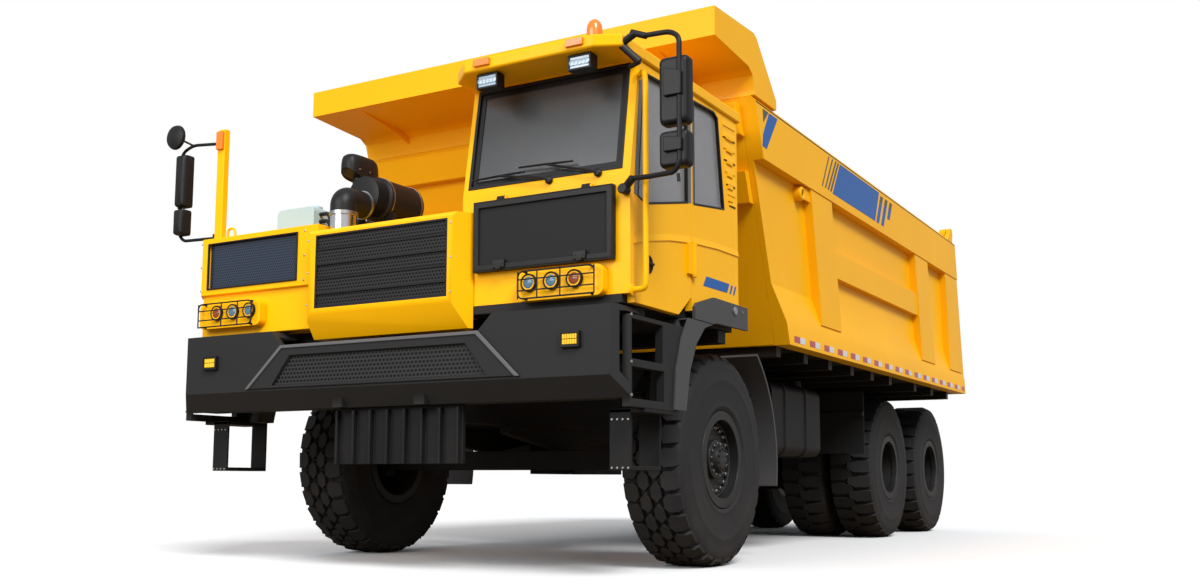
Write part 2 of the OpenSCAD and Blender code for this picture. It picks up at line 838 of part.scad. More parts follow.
// Wall behind the door, with louvres, its window and the door's hinge pin
module cab_quarter() {
    color("#f0b000") placed() {
        difference() {
            block([door_in, cab_left], [door_rear_y + panel_gap, cab_rear_y - cab_wall],
                [cab_floor_top, cab_top]);
            side_plate(door_in - 10, cab_left + 10) quarter_window();
        }
        for (i = [0 : 5])
            block([cab_left, cab_left + 12], [-310 + 8 * i, -190],
                span(cab_top - 150 - 95 * i, [-30, 0]));
        translate([hinge_x, hinge_y, hinge_z[0] - 14])
            cylinder(h = hinge_z[1] - hinge_z[0] + 28, r = door_pin_r);
        for (z = [hinge_z[0] - 14, hinge_z[1]]) {
            translate([hinge_x, hinge_y, z]) cylinder(h = 14, r = 18);
            block([cab_left, hinge_x + 10], [hinge_y, hinge_y + 30], [z, z + 14]);
        }
    }
}

// Outline of the door's window
module door_window() {
    polygon([
        [window_front, window_foot + 30], [window_front + 85, cab_top - 70],
        [door_rear_y - 50, cab_top - 45],
        [door_rear_y - 50, window_foot + 140], [window_front + 110, window_foot]
    ]);
}

flare_notch = [-1085, -925];

// Rear-hinged door with its window opening, strap and hinge knuckle
module door() {
    color("#f0b000") placed() {
        difference() {
            side_plate(door_in, cab_left) difference() {
                cab_side(door_rear_y, cab_z + panel_gap, panel_gap);
                door_window();
                polygon([
                    [flare_notch[0] - 60, cab_z], [flare_notch[1] + 10, cab_z + 165],
                    [flare_notch[1] + 10, cab_z]
                ]);
            }
        }
        difference() {
            union() {
                translate([hinge_x, hinge_y, hinge_z[0] + seat_gap])
                    cylinder(h = hinge_z[1] - hinge_z[0] - 2 * seat_gap, r = 20);
                block([cab_left, hinge_x], [door_rear_y - 80, hinge_y], hinge_z + [seat_gap, -seat_gap]);
            }
            translate([hinge_x, hinge_y, cab_z]) cylinder(h = cab_h, r = door_pin_r + running);
            block([cab_left - 1, hinge_x + 40], [hinge_y + 22, hinge_y + 60], hinge_z);
        }
    }
}

glass_t = 8;

module door_glass() {
    color("#334455") placed() side_plate(cab_left - 30, cab_left - 30 + glass_t) door_window();
}

// Windshield and the cab's other fixed panes
module cab_glass() {
    color("#334455") placed() {
        side_plate(screen_x[0], screen_x[1]) polygon([
            [face_y(screen_z[0]) + 20, screen_z[0]], [face_y(screen_z[1]) + 20, screen_z[1]],
            [face_y(screen_z[1]) + 20 + glass_t, screen_z[1]],
            [face_y(screen_z[0]) + 20 + glass_t, screen_z[0]]
        ]);
        side_plate(cab_left - 30, cab_left - 30 + glass_t) quarter_window();
        side_plate(cab_right + 20, cab_right + 20 + glass_t) right_window();
        block([cab_right + 250, cab_left - 250], span(cab_rear_y - 30, [0, glass_t]),
            [window_foot + 200, cab_top - 130]);
    }
}

// Roof slab with the visor over the windshield
module cab_roof() {
    color("#f0b000") placed() {
        middle = (cab_right + cab_left) / 2;
        half = cab_w / 2 + roof_over;
        front = cab_front_y - visor_lead;
        translate([0, 0, cab_top]) linear_extrude(roof_t) polygon([
            [middle - half, cab_rear_y + roof_over], [middle - half, cab_front_y - 60],
            [middle - half + 170, front],
            [middle + half - 170, front], [middle + half, front + 80],
            [middle + half, cab_rear_y + roof_over]
        ]);
        translate([0, 0, cab_top + roof_t]) linear_extrude(25) polygon([
            [middle - half + 90, cab_rear_y - 60], [middle - half + 90, cab_front_y + 190],
            [middle + half - 90, cab_front_y + 190], [middle + half - 90, cab_rear_y - 60]
        ]);
    }
}

// Driver's seat on its pedestal
module seat() {
    color("#2c2c30") placed() translate([(cab_right + cab_left) / 2 + 80, -470, cab_floor_top]) {
        block([-160, 160], [-180, 180], [0, 300]);
        translate([0, 260, 0]) rotate([90, 0, 0]) linear_extrude(540)
            round_rect([-270, 300], [270, 430], 50);
        translate([0, 300, 0]) rotate([90, 0, 0]) linear_extrude(110)
            round_rect([-260, 400], [260, 1050], 70);
    }
}

// Dashboard with the steering column and wheel
module dashboard() {
    color("#242428") placed() {
        dash_y = [cab_front_y + cab_wall, cab_front_y + cab_wall + 330];
        dash_top = cab_floor_top + 780;
        wheel = [(cab_right + cab_left) / 2 + 80, dash_y[1] + 190, dash_top + 60];
        side_plate(cab_right + cab_wall, floor_left) polygon([
            [dash_y[0], cab_floor_top], [dash_y[0], screen_foot_z], [dash_y[1] - 60, dash_top],
            [dash_y[1], dash_top - 120], [dash_y[1] - 120, cab_floor_top]
        ]);
        bar([wheel[0], dash_y[1] - 80, dash_top - 160], wheel, 32);
        translate(wheel) rotate([-40, 0, 0]) {
            rotate_extrude() translate([225, 0]) circle(r = 18);
            for (a = [0, 120, 240]) rotate([0, 0, a]) rotate([0, 90, 0]) cylinder(h = 225, r = 12);
            cylinder(h = 40, r = 60, center = true);
        }
    }
}

// Framed black lid on the cab's face, hung from its top edge
module front_lid() {
    color("#1c1c1c") placed() {
        y = [cab_front_y - panel_gap + 1 - lid_t, cab_front_y - panel_gap + 1];
        difference() {
            block(lid_x, y, lid_z);
            block(lid_x + [45, -45], [y[0] - 1, y[0] + 14], lid_z + [45, -45]);
        }
        difference() {
            for (x = lid_hinges) {
                translate([0, lid_pin_y, lid_pin_z]) bar_x(x - 30, x + 30, 15);
                block(span(x, [-30, 30]), span(lid_pin_y, [-15, 8]), [lid_z[1] - 1, lid_pin_z]);
            }
            translate([0, lid_pin_y, lid_pin_z]) bar_x(cab_right, cab_left, lid_pin_r + running);
        }
    }
}

// Lamps, mirrors and fittings

lamp_x = [1285, 1460, 1635];
lamp_z = cab_z + 170;

// A boxed row of three round lamps on each side of the face
module headlamps() {
    color("#e8b020") placed() both_sides() {
        front_plate(cab_front_y - 70, cab_front_y)
            round_rect([1180, cab_z + 50], [1840, cab_z + 255], 50);
        for (x = lamp_x) translate([x, 0, lamp_z]) bar_y(cab_front_y - 90, cab_front_y - 60, 52);
    }
}

// Bumper lamps, visor markers, work lamps, the beacon and the post's marker
module lamps() {
    color("#ff8c1a") placed() {
        both_sides() block([1575, 1690], [bumper_y - 25, bumper_y], span(bumper_z, [340, 413]));
        visor_y = cab_front_y - visor_lead;
        for (x = [985, 1715]) {
            block(span(x, [-65, 65]), [visor_y - marker_t, visor_y], span(cab_top, [25, 75]));
            block(span(x, [-80, 80]), [visor_y + 60, visor_y + 150], span(cab_top, [-105, -12]));
            block(span(x, [-25, 25]), [visor_y + 90, visor_y + 120], span(cab_top, [-13, 0]));
        }
        translate([1690, -1760, cab_top + roof_t]) {
            cylinder(h = 60, r = 80);
            cylinder(h = 230, r = 60);
            translate([0, 0, 230]) sphere(r = 60);
        }
        block(span(post_x[0], [20, 100]), [post_y[0] - 25, post_y[0]], [post_top - 170, post_top - 20]);
    }
}

// Rear-view mirrors on tubes: both sides of the cab's face and on the right post
module mirrors() {
    color("#151515") placed() {
        left_y = cab_front_y - 110;
        roof_edge = cab_left + roof_over;
        block([roof_edge, roof_edge + 20], span(left_y, [-35, 35]), span(cab_top, [10, 70]));
        clamped_run([
            [roof_edge + 10, left_y, cab_top + 40], [2170, left_y, cab_top + 60],
            [2340, left_y, cab_top + 40],
            [2400, left_y, cab_top - 40], [2400, left_y, cab_z + 786], [2340, left_y, cab_z + 750],
            [2150, left_y, cab_z + 730], [1975, cab_front_y - 20, cab_z + 700]
        ], 15);
        block([2275, 2480], span(left_y, [-70, 55]), span(cab_z, [1063, 1506]));
        block([2275, 2480], span(left_y, [-70, 55]), span(cab_z, [792, 1029]));
        block([1955, 1995], [cab_front_y - 40, cab_front_y], span(cab_z, [660, 740]));
        right_y = post_y[0] + 40;
        for (z = [820, 1610])
            block([post_x[0] - 20, post_x[0]], span(right_y, [-30, 30]), span(cab_z + z, [-30, 30]));
        clamped_run([
            [post_x[0] - 10, right_y, cab_z + 1610], [-2080, right_y, cab_z + 1625],
            [-2190, right_y, cab_z + 1575], [-2205, right_y, cab_z + 900], [-2140, right_y, cab_z + 825],
            [post_x[0] - 10, right_y, cab_z + 820]
        ], 13);
        block([-2185, -2055], span(right_y, [-85, 25]), span(cab_z, [1090, 1530]));
        block([-2180, -2065], span(right_y, [-85, 25]), span(cab_z, [855, 1075]));
        clamped_run([
            [-2080, right_y, cab_z + 1625], [-2200, right_y - 30, cab_z + 1670],
            [-2300, right_y - 60, cab_z + 1710]
        ], 9);
        translate([-2300, right_y - 90, cab_z + 1710]) bar_y(-15, 40, 105);
    }
}

cleaner = [-520, hood_top + 370];
cleaner_r = 190;
cleaner_y = [-1400, -760];
cap_at = [-640, -1180];

// Air cleaner on saddles, its rain cap and the elbow down to the engine
module air_cleaner() {
    color("#1e1e1e") placed() {
        translate([cleaner[0], 0, cleaner[1]]) {
            bar_y(cleaner_y[0], cleaner_y[1], cleaner_r);
            bar_y(cleaner_y[0] - 60, cleaner_y[0], cleaner_r - 45);
        }
        for (y = [cleaner_y[0] + 130, cleaner_y[1] - 170])
            block(span(cleaner[0], [-110, 150]), [y, y + 60], [hood_top, cleaner[1] - 90]);
        translate([cap_at[0], cap_at[1], cleaner[1]]) {
            cylinder(h = 250, r = 75);
            translate([0, 0, 240]) cylinder(h = 110, r = 205);
            translate([0, 0, 350]) cylinder(h = 90, r1 = 205, r2 = 110);
        }
        pipe_y = cleaner_y[0] - 190;
        translate([cleaner[0], 0, cleaner[1] - 30]) bar_y(pipe_y - 100, cleaner_y[0] - 59, 95);
        translate([cleaner[0], pipe_y, hood_top]) cylinder(h = cleaner[1] - 30 - hood_top, r = 85);
    }
}

// Header tank on the right box
module header_tank() {
    color("#b9d6d8") placed() {
        translate([0, -1050, 0]) rotate([90, 0, 0]) linear_extrude(330)
            round_rect([-1560, box_top], [-1160, box_top + 300], 50);
        translate([-1290, -1215, box_top + 290]) cylinder(h = 45, r = 55);
    }
}

// Fenders and flaps

flare_x = [bumper_half - 180, bumper_half + 15];
flare_split = cab_z - 6;
guard_r = 1110;
guard_t = 24;
guard_x = [front_tyre_x - 250, front_tyre_x + 240];

// Outline of the wheel arch band
module flare_outline() {
    polygon([
        [-1255, panel_z + 10], [-1225, cab_z - 390], [-1130, cab_z - 150], [-1020, cab_z + 5],
        [-880, cab_z + 120], [-594, cab_z + 195], [30, cab_z + 195], [30, cab_z + 20], [-560, cab_z + 10],
        [-760, cab_z - 45], [-900, cab_z - 170], [-1010, cab_z - 370], [-1077, panel_z + 10]
    ]);
}

// Wheel arch flares and the guards behind the front wheels
module fenders() {
    color("#4b4e50") placed() both_sides() {
        side_plate(cab_left, flare_x[1]) intersection() {
            flare_outline();
            translate([-920, cab_z]) square([1000, 400]);
        }
        difference() {
            side_plate(flare_x[0], flare_x[1]) intersection() {
                flare_outline();
                translate([-1400, panel_z]) square([1500, flare_split - panel_z]);
            }
            block(span(bumper_half, [-step_panel_t - seat_gap, seat_gap]), [-1400, panel_rear + 191],
                [panel_z, bumper_top]);
        }
        side_plate(guard_x[0], guard_x[1]) translate([0, axle_z]) intersection() {
            difference() {
                circle(r = guard_r + guard_t, $fn = 128);
                circle(r = guard_r, $fn = 128);
            }
            polygon([[0, 0], [1400, -260], [1400, 1200], [900, 1100]]);
        }
        block([rail_out, guard_x[0] + 1], span(guard_r, [-80, -50]), [rail_z + 130, rail_z + 190]);
    }
}

// Rubber flaps ahead of the rear wheels, on arms from the frame
module mudflaps() {
    color("#181818") placed() both_sides() {
        y = rear_1_y - 1044;
        outer = twin_x + twin_half + tyre_w / 2 + 10;
        block([rail_out + 60, outer], [y, y + 18], [axle_z + 140, rail_top + 200]);
        block([rail_out, outer], [y - 40, y], [rail_top - 80, rail_top - 30]);
    }
}

// Fuel tank on the left and hydraulic tank on the right, on brackets from the frame
module side_tanks() {
    color("#3f4244") placed() both_sides() {
        x = [900, 1600];
        y = [1600, 2880];
        z = span(rail_z, [-180, 480]);
        front_plate(y[0], y[1]) round_rect([x[0], z[0]], [x[1], z[1]], 90);
        for (s = [y[0] + 300, y[1] - 430]) {
            front_plate(s, s + 70) round_rect([x[0] - 12, z[0] - 12], [x[1] + 12, z[1] + 12], 100);
            block([rail_out, x[0] + 1], [s, s + 70], [rail_z + 60, rail_z + 160]);
        }
        translate([x[1] - 160, y[1] - 250, z[1] - 1]) cylinder(h = 80, r = 55);
    }
}

// Hoist

// Puts a piece drawn along Z from the base pin onto the hoist's line
module on_hoist() {
    placed() both_sides() translate([hoist_x, hoist_base[0], hoist_base[1]])
        rotate([-hoist_tilt, 0, 0]) children();
}

module hoist_barrels() {
    color("#55585a") on_hoist() difference() {
        union() {
            cylinder(h = barrel_len, r = barrel_r);
            bar_x(-50, 50, hoist_eye_r);
        }
        translate([0, 0, hoist_eye_r + 20]) cylinder(h = hoist_len, r = stage_r[1]);
        bar_x(-barrel_r - 5, barrel_r + 5, hoist_pin_r + running);
    }
}

// One sliding tube of the hoist; k counts outward in
module hoist_tube(k) {
    difference() {
        translate([0, 0, hoist_eye_r + 22 + 2 * k]) cylinder(h = barrel_len - hoist_eye_r - 22 + 6 * k,
                                                           r = stage_r[k] - stage_slip);
        translate([0, 0, hoist_eye_r + 23 + 2 * k]) cylinder(h = hoist_len, r = stage_r[k + 1]);
    }
}

module hoist_stage_1() { color("#c9ccd0") on_hoist() hoist_tube(1); }
module hoist_stage_2() { color("#c9ccd0") on_hoist() hoist_tube(2); }

// The inner rods with their cross eyes
module hoist_rods() {
    color("#c9ccd0") on_hoist() {
        translate([0, 0, hoist_eye_r + 30])
            cylinder(h = hoist_len - hoist_eye_r - 30, r = stage_r[3] - stage_slip);
        translate([0, 0, hoist_len]) bar_x(-stage_r[3] - 20, stage_r[3] + 20, 45);
    }
}

// Dump bed

// Station of the side walls' rear edge at a height
function bed_rear_y(z) = bed_rear_top + (bed_top - z) * (bed_rear_low - bed_rear_top) / (bed_top - bed_z);

// Outline of the bed's side
module bed_outline() {
    polygon([
        [bed_front_y, bed_top], [bed_front_y, bed_step_z], bed_knee, [bed_front_low, bed_z],
        [bed_rear_low, bed_z], [bed_rear_top, bed_top]
    ]);
}

// A leaning rib: station at the top, station at the foot and the widths there
module bed_rib(top, foot, width_top, width_foot) {
    polygon([[top, band_z], [top + width_top, band_z], [foot + width_foot, bed_z + 260],
        [foot, bed_z + 260]]);
}

// Side wall with its band, ribs, sloped skirt, top rail and the tailgate's hinge lug
module bed_side() {
    rib_1 = [bed_front_y + 1120, bed_front_y + 1551];
    rib_2 = [bed_rear_top - 1970, bed_rear_top - 1760];
    side_plate(bed_in, bed_skin) bed_outline();
    intersection() {
        side_plate(bed_in, bed_out) bed_outline();
        union() {
            block([bed_in, bed_out], [0, bed_rear_low], [band_z, bed_top]);
            front_plate(0, bed_rear_low) polygon([
                [bed_skin - 1, bed_z + 503], [bed_out, bed_z + 180], [bed_out, bed_z],
                [bed_skin - 1, bed_z]
            ]);
            side_plate(bed_in, bed_out - 9) {
                bed_rib(rib_1[0], rib_1[1], 790, 574);
                bed_rib(rib_2[0], rib_2[1], 563, 602);
                bed_rib(bed_rear_top - 540, bed_rear_top - 410, 563, 620);
            }
            block([bed_in, bed_out - 25], [rib_1[1], rib_2[1]], [bed_z + 765, bed_z + 1016]);
        }
    }
    front_plate(bed_front_y, bed_rear_top) polygon([
        [bed_in, bed_top - 1], [bed_out, bed_top - 1], [bed_out - 34, bed_cap], [bed_in, bed_cap]
    ]);
    side_plate(bed_out - 79, bed_out - 29) difference() {
        union() {
            polygon([
                [gate_pin_y - 200, bed_cap - 1], [gate_pin_y - 70, gate_pin_z],
                [gate_pin_y + 50, gate_pin_z],
                [gate_pin_y + 50, bed_cap - 1]
            ]);
            translate([gate_pin_y, gate_pin_z]) circle(r = 70);
        }
    }
    translate([0, gate_pin_y, gate_pin_z]) bar_x(bed_out - 175, bed_out - 30, gate_pin_r);
}

module bed_side_left() { color("#f0b000") placed() bed_side(); }
module bed_side_right() { color("#f0b000") placed() mirror([1, 0, 0]) bed_side(); }

// Leaning front wall with its stiffener box
module bed_front() {
    color("#e0a000") placed() {
        t = bed_plate + 10;
        side_plate(-bed_in, bed_in) polygon([
            [bed_front_y, bed_cap], [bed_front_y, bed_step_z], bed_knee, [bed_front_low, bed_z],
            [bed_front_low + t, bed_z], [bed_knee[0] + t, bed_knee[1] + 10],
            [bed_front_y + t, bed_step_z + 10],
            [bed_front_y + t, bed_cap]
        ]);
        block([-bed_in, bed_in], [bed_front_y - 90, bed_front_y + 1], [bed_top - 390, bed_top - 190]);
    }
}

bearer_first = bed_front_low + 310;
bearer_last = bed_rear_low - 480;
bearer_stations = concat(
    [for (i = [0 : 5]) bearer_first + i * (hoist_eye[0] - 400 - bearer_first) / 5],
    [for (i = [0 : 2]) hoist_eye[0] + 620 + i * (bearer_last - hoist_eye[0] - 620) / 2]
);

// Floor plate with bearers, main beams, hinge ears and the hoist's ears
module bed_floor() {
    color("#b07800") placed() difference() {
        union() {
            block([-bed_in, bed_in], [bed_front_low + bed_plate + 10, bed_rear_low],
                [bed_z, bed_z + floor_t]);
            for (y = bearer_stations) block([-bed_in, bed_in], [y, y + 100], [bed_z - 90, bed_z + 1]);
            block([-ear_x[1], ear_x[1]], [bed_rear_low - 1, bed_pin_y + 160], [bed_z - 50, bed_z]);
            both_sides() {
                block([rail_in, rail_out], [bed_front_low + 210, bed_pin_y - 150],
                    [rail_top + 6, bed_z + 1]);
                side_plate(ear_x[0], ear_x[1]) {
                    polygon([
                        [bed_pin_y - 300, bed_z + 1], [bed_pin_y + 160, bed_z - 1],
                        [bed_pin_y + 90, bed_pin_z],
                        [bed_pin_y - 90, bed_pin_z]
                    ]);
                    translate([bed_pin_y, bed_pin_z]) circle(r = 95);
                }
                for (x = [hoist_x - 106, hoist_x + 92])
                    block([x, x + 14], span(hoist_eye[0], [-110, 160]), [hoist_eye[1] - 70, bed_z + 1]);
            }
        }
        translate([0, bed_pin_y, bed_pin_z]) bar_x(-rail_in, rail_in, bed_pin_r + running);
    }
}

// Canopy tray over the cab, with its front and side boards
module canopy() {
    color("#f0b000") placed() {
        board = 59;
        lip = canopy_front_y;
        low = bed_top + 280;
        top = low + 230;
        both_sides() side_plate(bed_out - board, bed_out) polygon([
            [lip, low], [bed_front_y - 207, low - 41], [bed_front_y - 61, low - 88],
            [bed_front_y, low - 188],
            [bed_front_y, bed_cap], [bed_front_y + 494, bed_cap], [bed_front_y + 494, low - 157],
            [bed_front_y + 80, top + 17], [bed_front_y + 18, top + 45], [lip, top]
        ]);
        side_plate(-bed_out + board, bed_out - board) polygon([
            [lip, low], [bed_front_y - 207, low - 41], [bed_front_y - 61, low - 88],
            [bed_front_y, low - 188],
            [bed_front_y, bed_cap], [bed_front_y + bed_plate, bed_cap],
            [bed_front_y + bed_plate, low - 175],
            [bed_front_y - 35, low - 45], [bed_front_y - 195, low + 5], [lip, low + 45]
        ]);
        block([-bed_out + board, bed_out - board], [lip, lip + 40], [low, top]);
    }
}

// Top-hung tailgate behind the side walls
module tailgate() {
    color("#f0b000") placed() {
        foot = bed_z + floor_t + 8;
        half = bed_out - 30;
        gap = 8;
        side_plate(-half, half) polygon([
            [bed_rear_y(bed_top) + gap, bed_top], [bed_rear_y(bed_top) + gap + gate_t, bed_top],
            [bed_rear_y(foot) + gap + gate_t, foot], [bed_rear_y(foot) + gap, foot]
        ]);
        for (z = [foot + 120, foot + 620, foot + 1120, foot + 1620])
            block([-half + 60, half - 60], span(bed_rear_y(z) + gap + gate_t, [-30, 50]), [z, z + 110]);
        both_sides() side_plate(bed_out - 169, bed_out - 89) difference() {
            union() {
                polygon([
                    [gate_pin_y, gate_pin_z - 70], [gate_pin_y, gate_pin_z + 70],
                    [gate_pin_y + 90, gate_pin_z + 40],
                    [bed_rear_top + gap + gate_t, bed_top - 1], [bed_rear_top + gap + 8, bed_top - 1],
                    [bed_rear_top + gap + 8, gate_pin_z - 85]
                ]);
                translate([gate_pin_y, gate_pin_z]) circle(r = 70);
            }
            translate([gate_pin_y, gate_pin_z]) circle(r = gate_pin_r + running);
        }
    }
}

frame_rails();
cross_members();
outriggers();
hoist_mount();
bumper();
front_guard();
ladders();
powertrain();
hood();
grille();
right_box();
box_mesh();
cab_floor();
cab_front();
cab_rear();
cab_right_wall();
cab_quarter();
cab_roof();
cab_glass();
seat();
dashboard();
headlamps();
lamps();
fenders();
mudflaps();
mirrors();
air_cleaner();
header_tank();
front_axle();
rear_axles();
side_tanks();
door();
door_glass();
front_lid();
knuckle_left();
knuckle_right();
front_tyre_left();
front_rim_left();
front_tyre_right();
front_rim_right();
rear_tyres_1_left();
rear_rims_1_left();
rear_tyres_1_right();
rear_rims_1_right();
rear_tyres_2_left();
rear_rims_2_left();
rear_tyres_2_right();
rear_rims_2_right();
hoist_barrels();
hoist_stage_1();
hoist_stage_2();
hoist_rods();
bed_floor();
bed_front();
bed_side_left();
bed_side_right();
canopy();
tailgate();
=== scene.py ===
"""Looks of a rigid off-highway dump truck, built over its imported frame."""
import json
import math

import bmesh
import bpy
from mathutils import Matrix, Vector


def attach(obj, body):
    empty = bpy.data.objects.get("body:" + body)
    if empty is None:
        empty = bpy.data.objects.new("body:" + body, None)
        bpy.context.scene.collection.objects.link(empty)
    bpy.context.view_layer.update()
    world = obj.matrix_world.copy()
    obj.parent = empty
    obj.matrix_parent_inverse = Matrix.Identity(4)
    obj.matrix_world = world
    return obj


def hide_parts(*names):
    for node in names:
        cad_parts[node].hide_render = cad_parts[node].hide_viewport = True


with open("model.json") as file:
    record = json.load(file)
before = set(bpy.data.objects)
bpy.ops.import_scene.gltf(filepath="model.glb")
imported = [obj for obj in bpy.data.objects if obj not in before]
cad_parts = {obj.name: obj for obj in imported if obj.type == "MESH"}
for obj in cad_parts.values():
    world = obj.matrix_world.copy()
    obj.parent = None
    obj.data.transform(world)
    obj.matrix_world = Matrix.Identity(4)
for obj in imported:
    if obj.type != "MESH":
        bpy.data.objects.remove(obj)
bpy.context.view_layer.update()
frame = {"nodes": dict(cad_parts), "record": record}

# Lengths below are in millimetres, with stations along Y counted from the front axle
MM = 0.001
FRONT_AXLE_Y = -3.056
AXLE_Z = 810
REAR_AXLES = (5494, 7384)
FRONT_TYRE_X = 1584
TWIN_X = 1009
TWIN_HALF = 289
BODY_OF_NODE = {n: b for b, nodes in frame["record"]["behaviour"]["bodies"].items() for n in nodes}
LEFT, BACK, UP, AHEAD = (1, 0, 0), (0, 1, 0), (0, 0, 1), (0, -1, 0)


def place(point):
    """A point in millimetres and stations, as Blender's metres."""
    return Vector((point[0] * MM, point[1] * MM + FRONT_AXLE_Y, point[2] * MM))


# Shared shader effects


def new_group(name, inputs, outputs):
    """An empty node group with value inputs (name, default) and named outputs."""
    group = bpy.data.node_groups.new(name, "ShaderNodeTree")
    for label, default in inputs:
        socket = group.interface.new_socket(label, in_out="INPUT", socket_type="NodeSocketFloat")
        socket.default_value = default
    for label in outputs:
        group.interface.new_socket(label, in_out="OUTPUT", socket_type="NodeSocketFloat")
    return group, group.nodes.new("NodeGroupInput"), group.nodes.new("NodeGroupOutput")


def math_node(tree, operation, a, b=None, c=None):
    """A math node whose inputs are sockets or plain numbers; returns its output."""
    node = tree.nodes.new("ShaderNodeMath")
    node.operation = operation
    for i, value in enumerate((a, b, c)):
        if value is None:
            continue
        if isinstance(value, (int, float)):
            node.inputs[i].default_value = value
        else:
            tree.links.new(value, node.inputs[i])
    return node.outputs[0]


def fade(tree, value, low, high):
    """Maps a value from low..high to 0..1, smoothly and clamped."""
    node = tree.nodes.new("ShaderNodeMapRange")
    node.interpolation_type = "SMOOTHSTEP"
    tree.links.new(value, node.inputs["Value"])
    for label, bound in (("From Min", low), ("From Max", high)):
        if isinstance(bound, (int, float)):
            node.inputs[label].default_value = bound
        else:
            tree.links.new(bound, node.inputs[label])
    return node.outputs["Result"]


def noise(tree, vector, scale, detail=3.0, rough=0.55):
    node = tree.nodes.new("ShaderNodeTexNoise")
    tree.links.new(vector, node.inputs["Vector"])
    if isinstance(scale, (int, float)):
        node.inputs["Scale"].default_value = scale
    else:
        tree.links.new(scale, node.inputs["Scale"])
    node.inputs["Detail"].default_value = detail
    node.inputs["Roughness"].default_value = rough
    return node.outputs["Fac"]


def object_position(tree):
    return tree.nodes.new("ShaderNodeTexCoord").outputs["Object"]


def road_dust_group():
    """Dust that thickens towards the ground and gathers in patches."""
    group, given, put = new_group("road_dust", [("Low", 0.3), ("High", 1.8), ("Amount", 0.4), ("Scale", 3.0)], ["Mask"])
    where = object_position(group)
    split = group.nodes.new("ShaderNodeSeparateXYZ")
    group.links.new(where, split.inputs[0])
    height = fade(group, split.outputs["Z"], given.outputs["Low"], given.outputs["High"])
    depth = math_node(group, "SUBTRACT", 1.0, height)
    patches = fade(group, noise(group, where, given.outputs["Scale"], 6.0, 0.65), 0.35, 0.75)
    mask = math_node(group, "MULTIPLY", math_node(group, "MULTIPLY", depth, patches), given.outputs["Amount"])
    group.links.new(mask, put.inputs["Mask"])
    return group


def paint_flow_group():
    """Fine surface ripple and a slow change of tone."""
    group, given, put = new_group("paint_flow", [("Scale", 260.0), ("Spread", 0.06)], ["Height", "Tone"])
    where = object_position(group)
    group.links.new(noise(group, where, given.outputs["Scale"], 2.0), put.inputs["Height"])
    slow = math_node(group, "SUBTRACT", noise(group, where, 0.9, 4.0), 0.5)
    tone = math_node(group, "MULTIPLY_ADD", slow, math_node(group, "MULTIPLY", given.outputs["Spread"], 4.0), 1.0)
    group.links.new(tone, put.inputs["Tone"])
    return group


def chips_group():
    """Small scattered chips and scratches, as a mask."""
    group, given, put = new_group("chips", [("Scale", 14.0), ("Amount", 0.2)], ["Mask"])
    where = object_position(group)
    stretch = group.nodes.new("ShaderNodeMapping")
    stretch.inputs["Scale"].default_value = (1.0, 1.0, 0.35)
    group.links.new(where, stretch.inputs["Vector"])
    fine = noise(group, stretch.outputs[0], given.outputs["Scale"], 8.0, 0.75)
    level = math_node(group, "SUBTRACT", 0.78, math_node(group, "MULTIPLY", given.outputs["Amount"], 0.2))
    group.links.new(fade(group, fine, level, math_node(group, "ADD", level, 0.04)), put.inputs["Mask"])
    return group


def punched_group():
    """Round holes in staggered rows across the X and Z directions, as a mask."""
    group, given, put = new_group("punched_holes", [("Pitch", 0.024), ("Hole", 0.34)], ["Mask"])
    split = group.nodes.new("ShaderNodeSeparateXYZ")
    group.links.new(object_position(group), split.inputs[0])
    row = math_node(group, "DIVIDE", split.outputs["Z"], math_node(group, "MULTIPLY", given.outputs["Pitch"], 0.866))
    odd = math_node(group, "MODULO", math_node(group, "FLOOR", row), 2.0)
    along = math_node(group, "DIVIDE", split.outputs["X"], given.outputs["Pitch"])
    along = math_node(group, "MULTIPLY_ADD", odd, 0.5, along)
    u = math_node(group, "SUBTRACT", math_node(group, "FRACT", along), 0.5)
    v = math_node(group, "SUBTRACT", math_node(group, "FRACT", row), 0.5)
    squared = math_node(group, "ADD", math_node(group, "MULTIPLY", u, u), math_node(group, "MULTIPLY", v, v))
    distance = math_node(group, "SQRT", squared)
    edge = math_node(group, "ADD", given.outputs["Hole"], 0.05)
    mask = math_node(group, "SUBTRACT", 1.0, fade(group, distance, given.outputs["Hole"], edge))
    group.links.new(mask, put.inputs["Mask"])
    return group


ROAD_DUST = road_dust_group()
PAINT_FLOW = paint_flow_group()
CHIPS = chips_group()
PUNCHED = punched_group()
DUST_COLOUR = (0.30, 0.24, 0.17, 1.0)


def mix_colour(tree, mask, first, second):
    """Mixes two colours, given as sockets or plain colours, by a mask."""
    node = tree.nodes.new("ShaderNodeMix")
    node.data_type = "RGBA"
    tree.links.new(mask, node.inputs["Factor"])
    for label, value in ((6, first), (7, second)):
        if isinstance(value, tuple):
            node.inputs[label].default_value = value
        else:
            tree.links.new(value, node.inputs[label])
    return node.outputs[2]


def use_group(tree, group, **values):
    node = tree.nodes.new("ShaderNodeGroup")
    node.node_tree = group
    for label, value in values.items():
        node.inputs[label].default_value = value
    return node


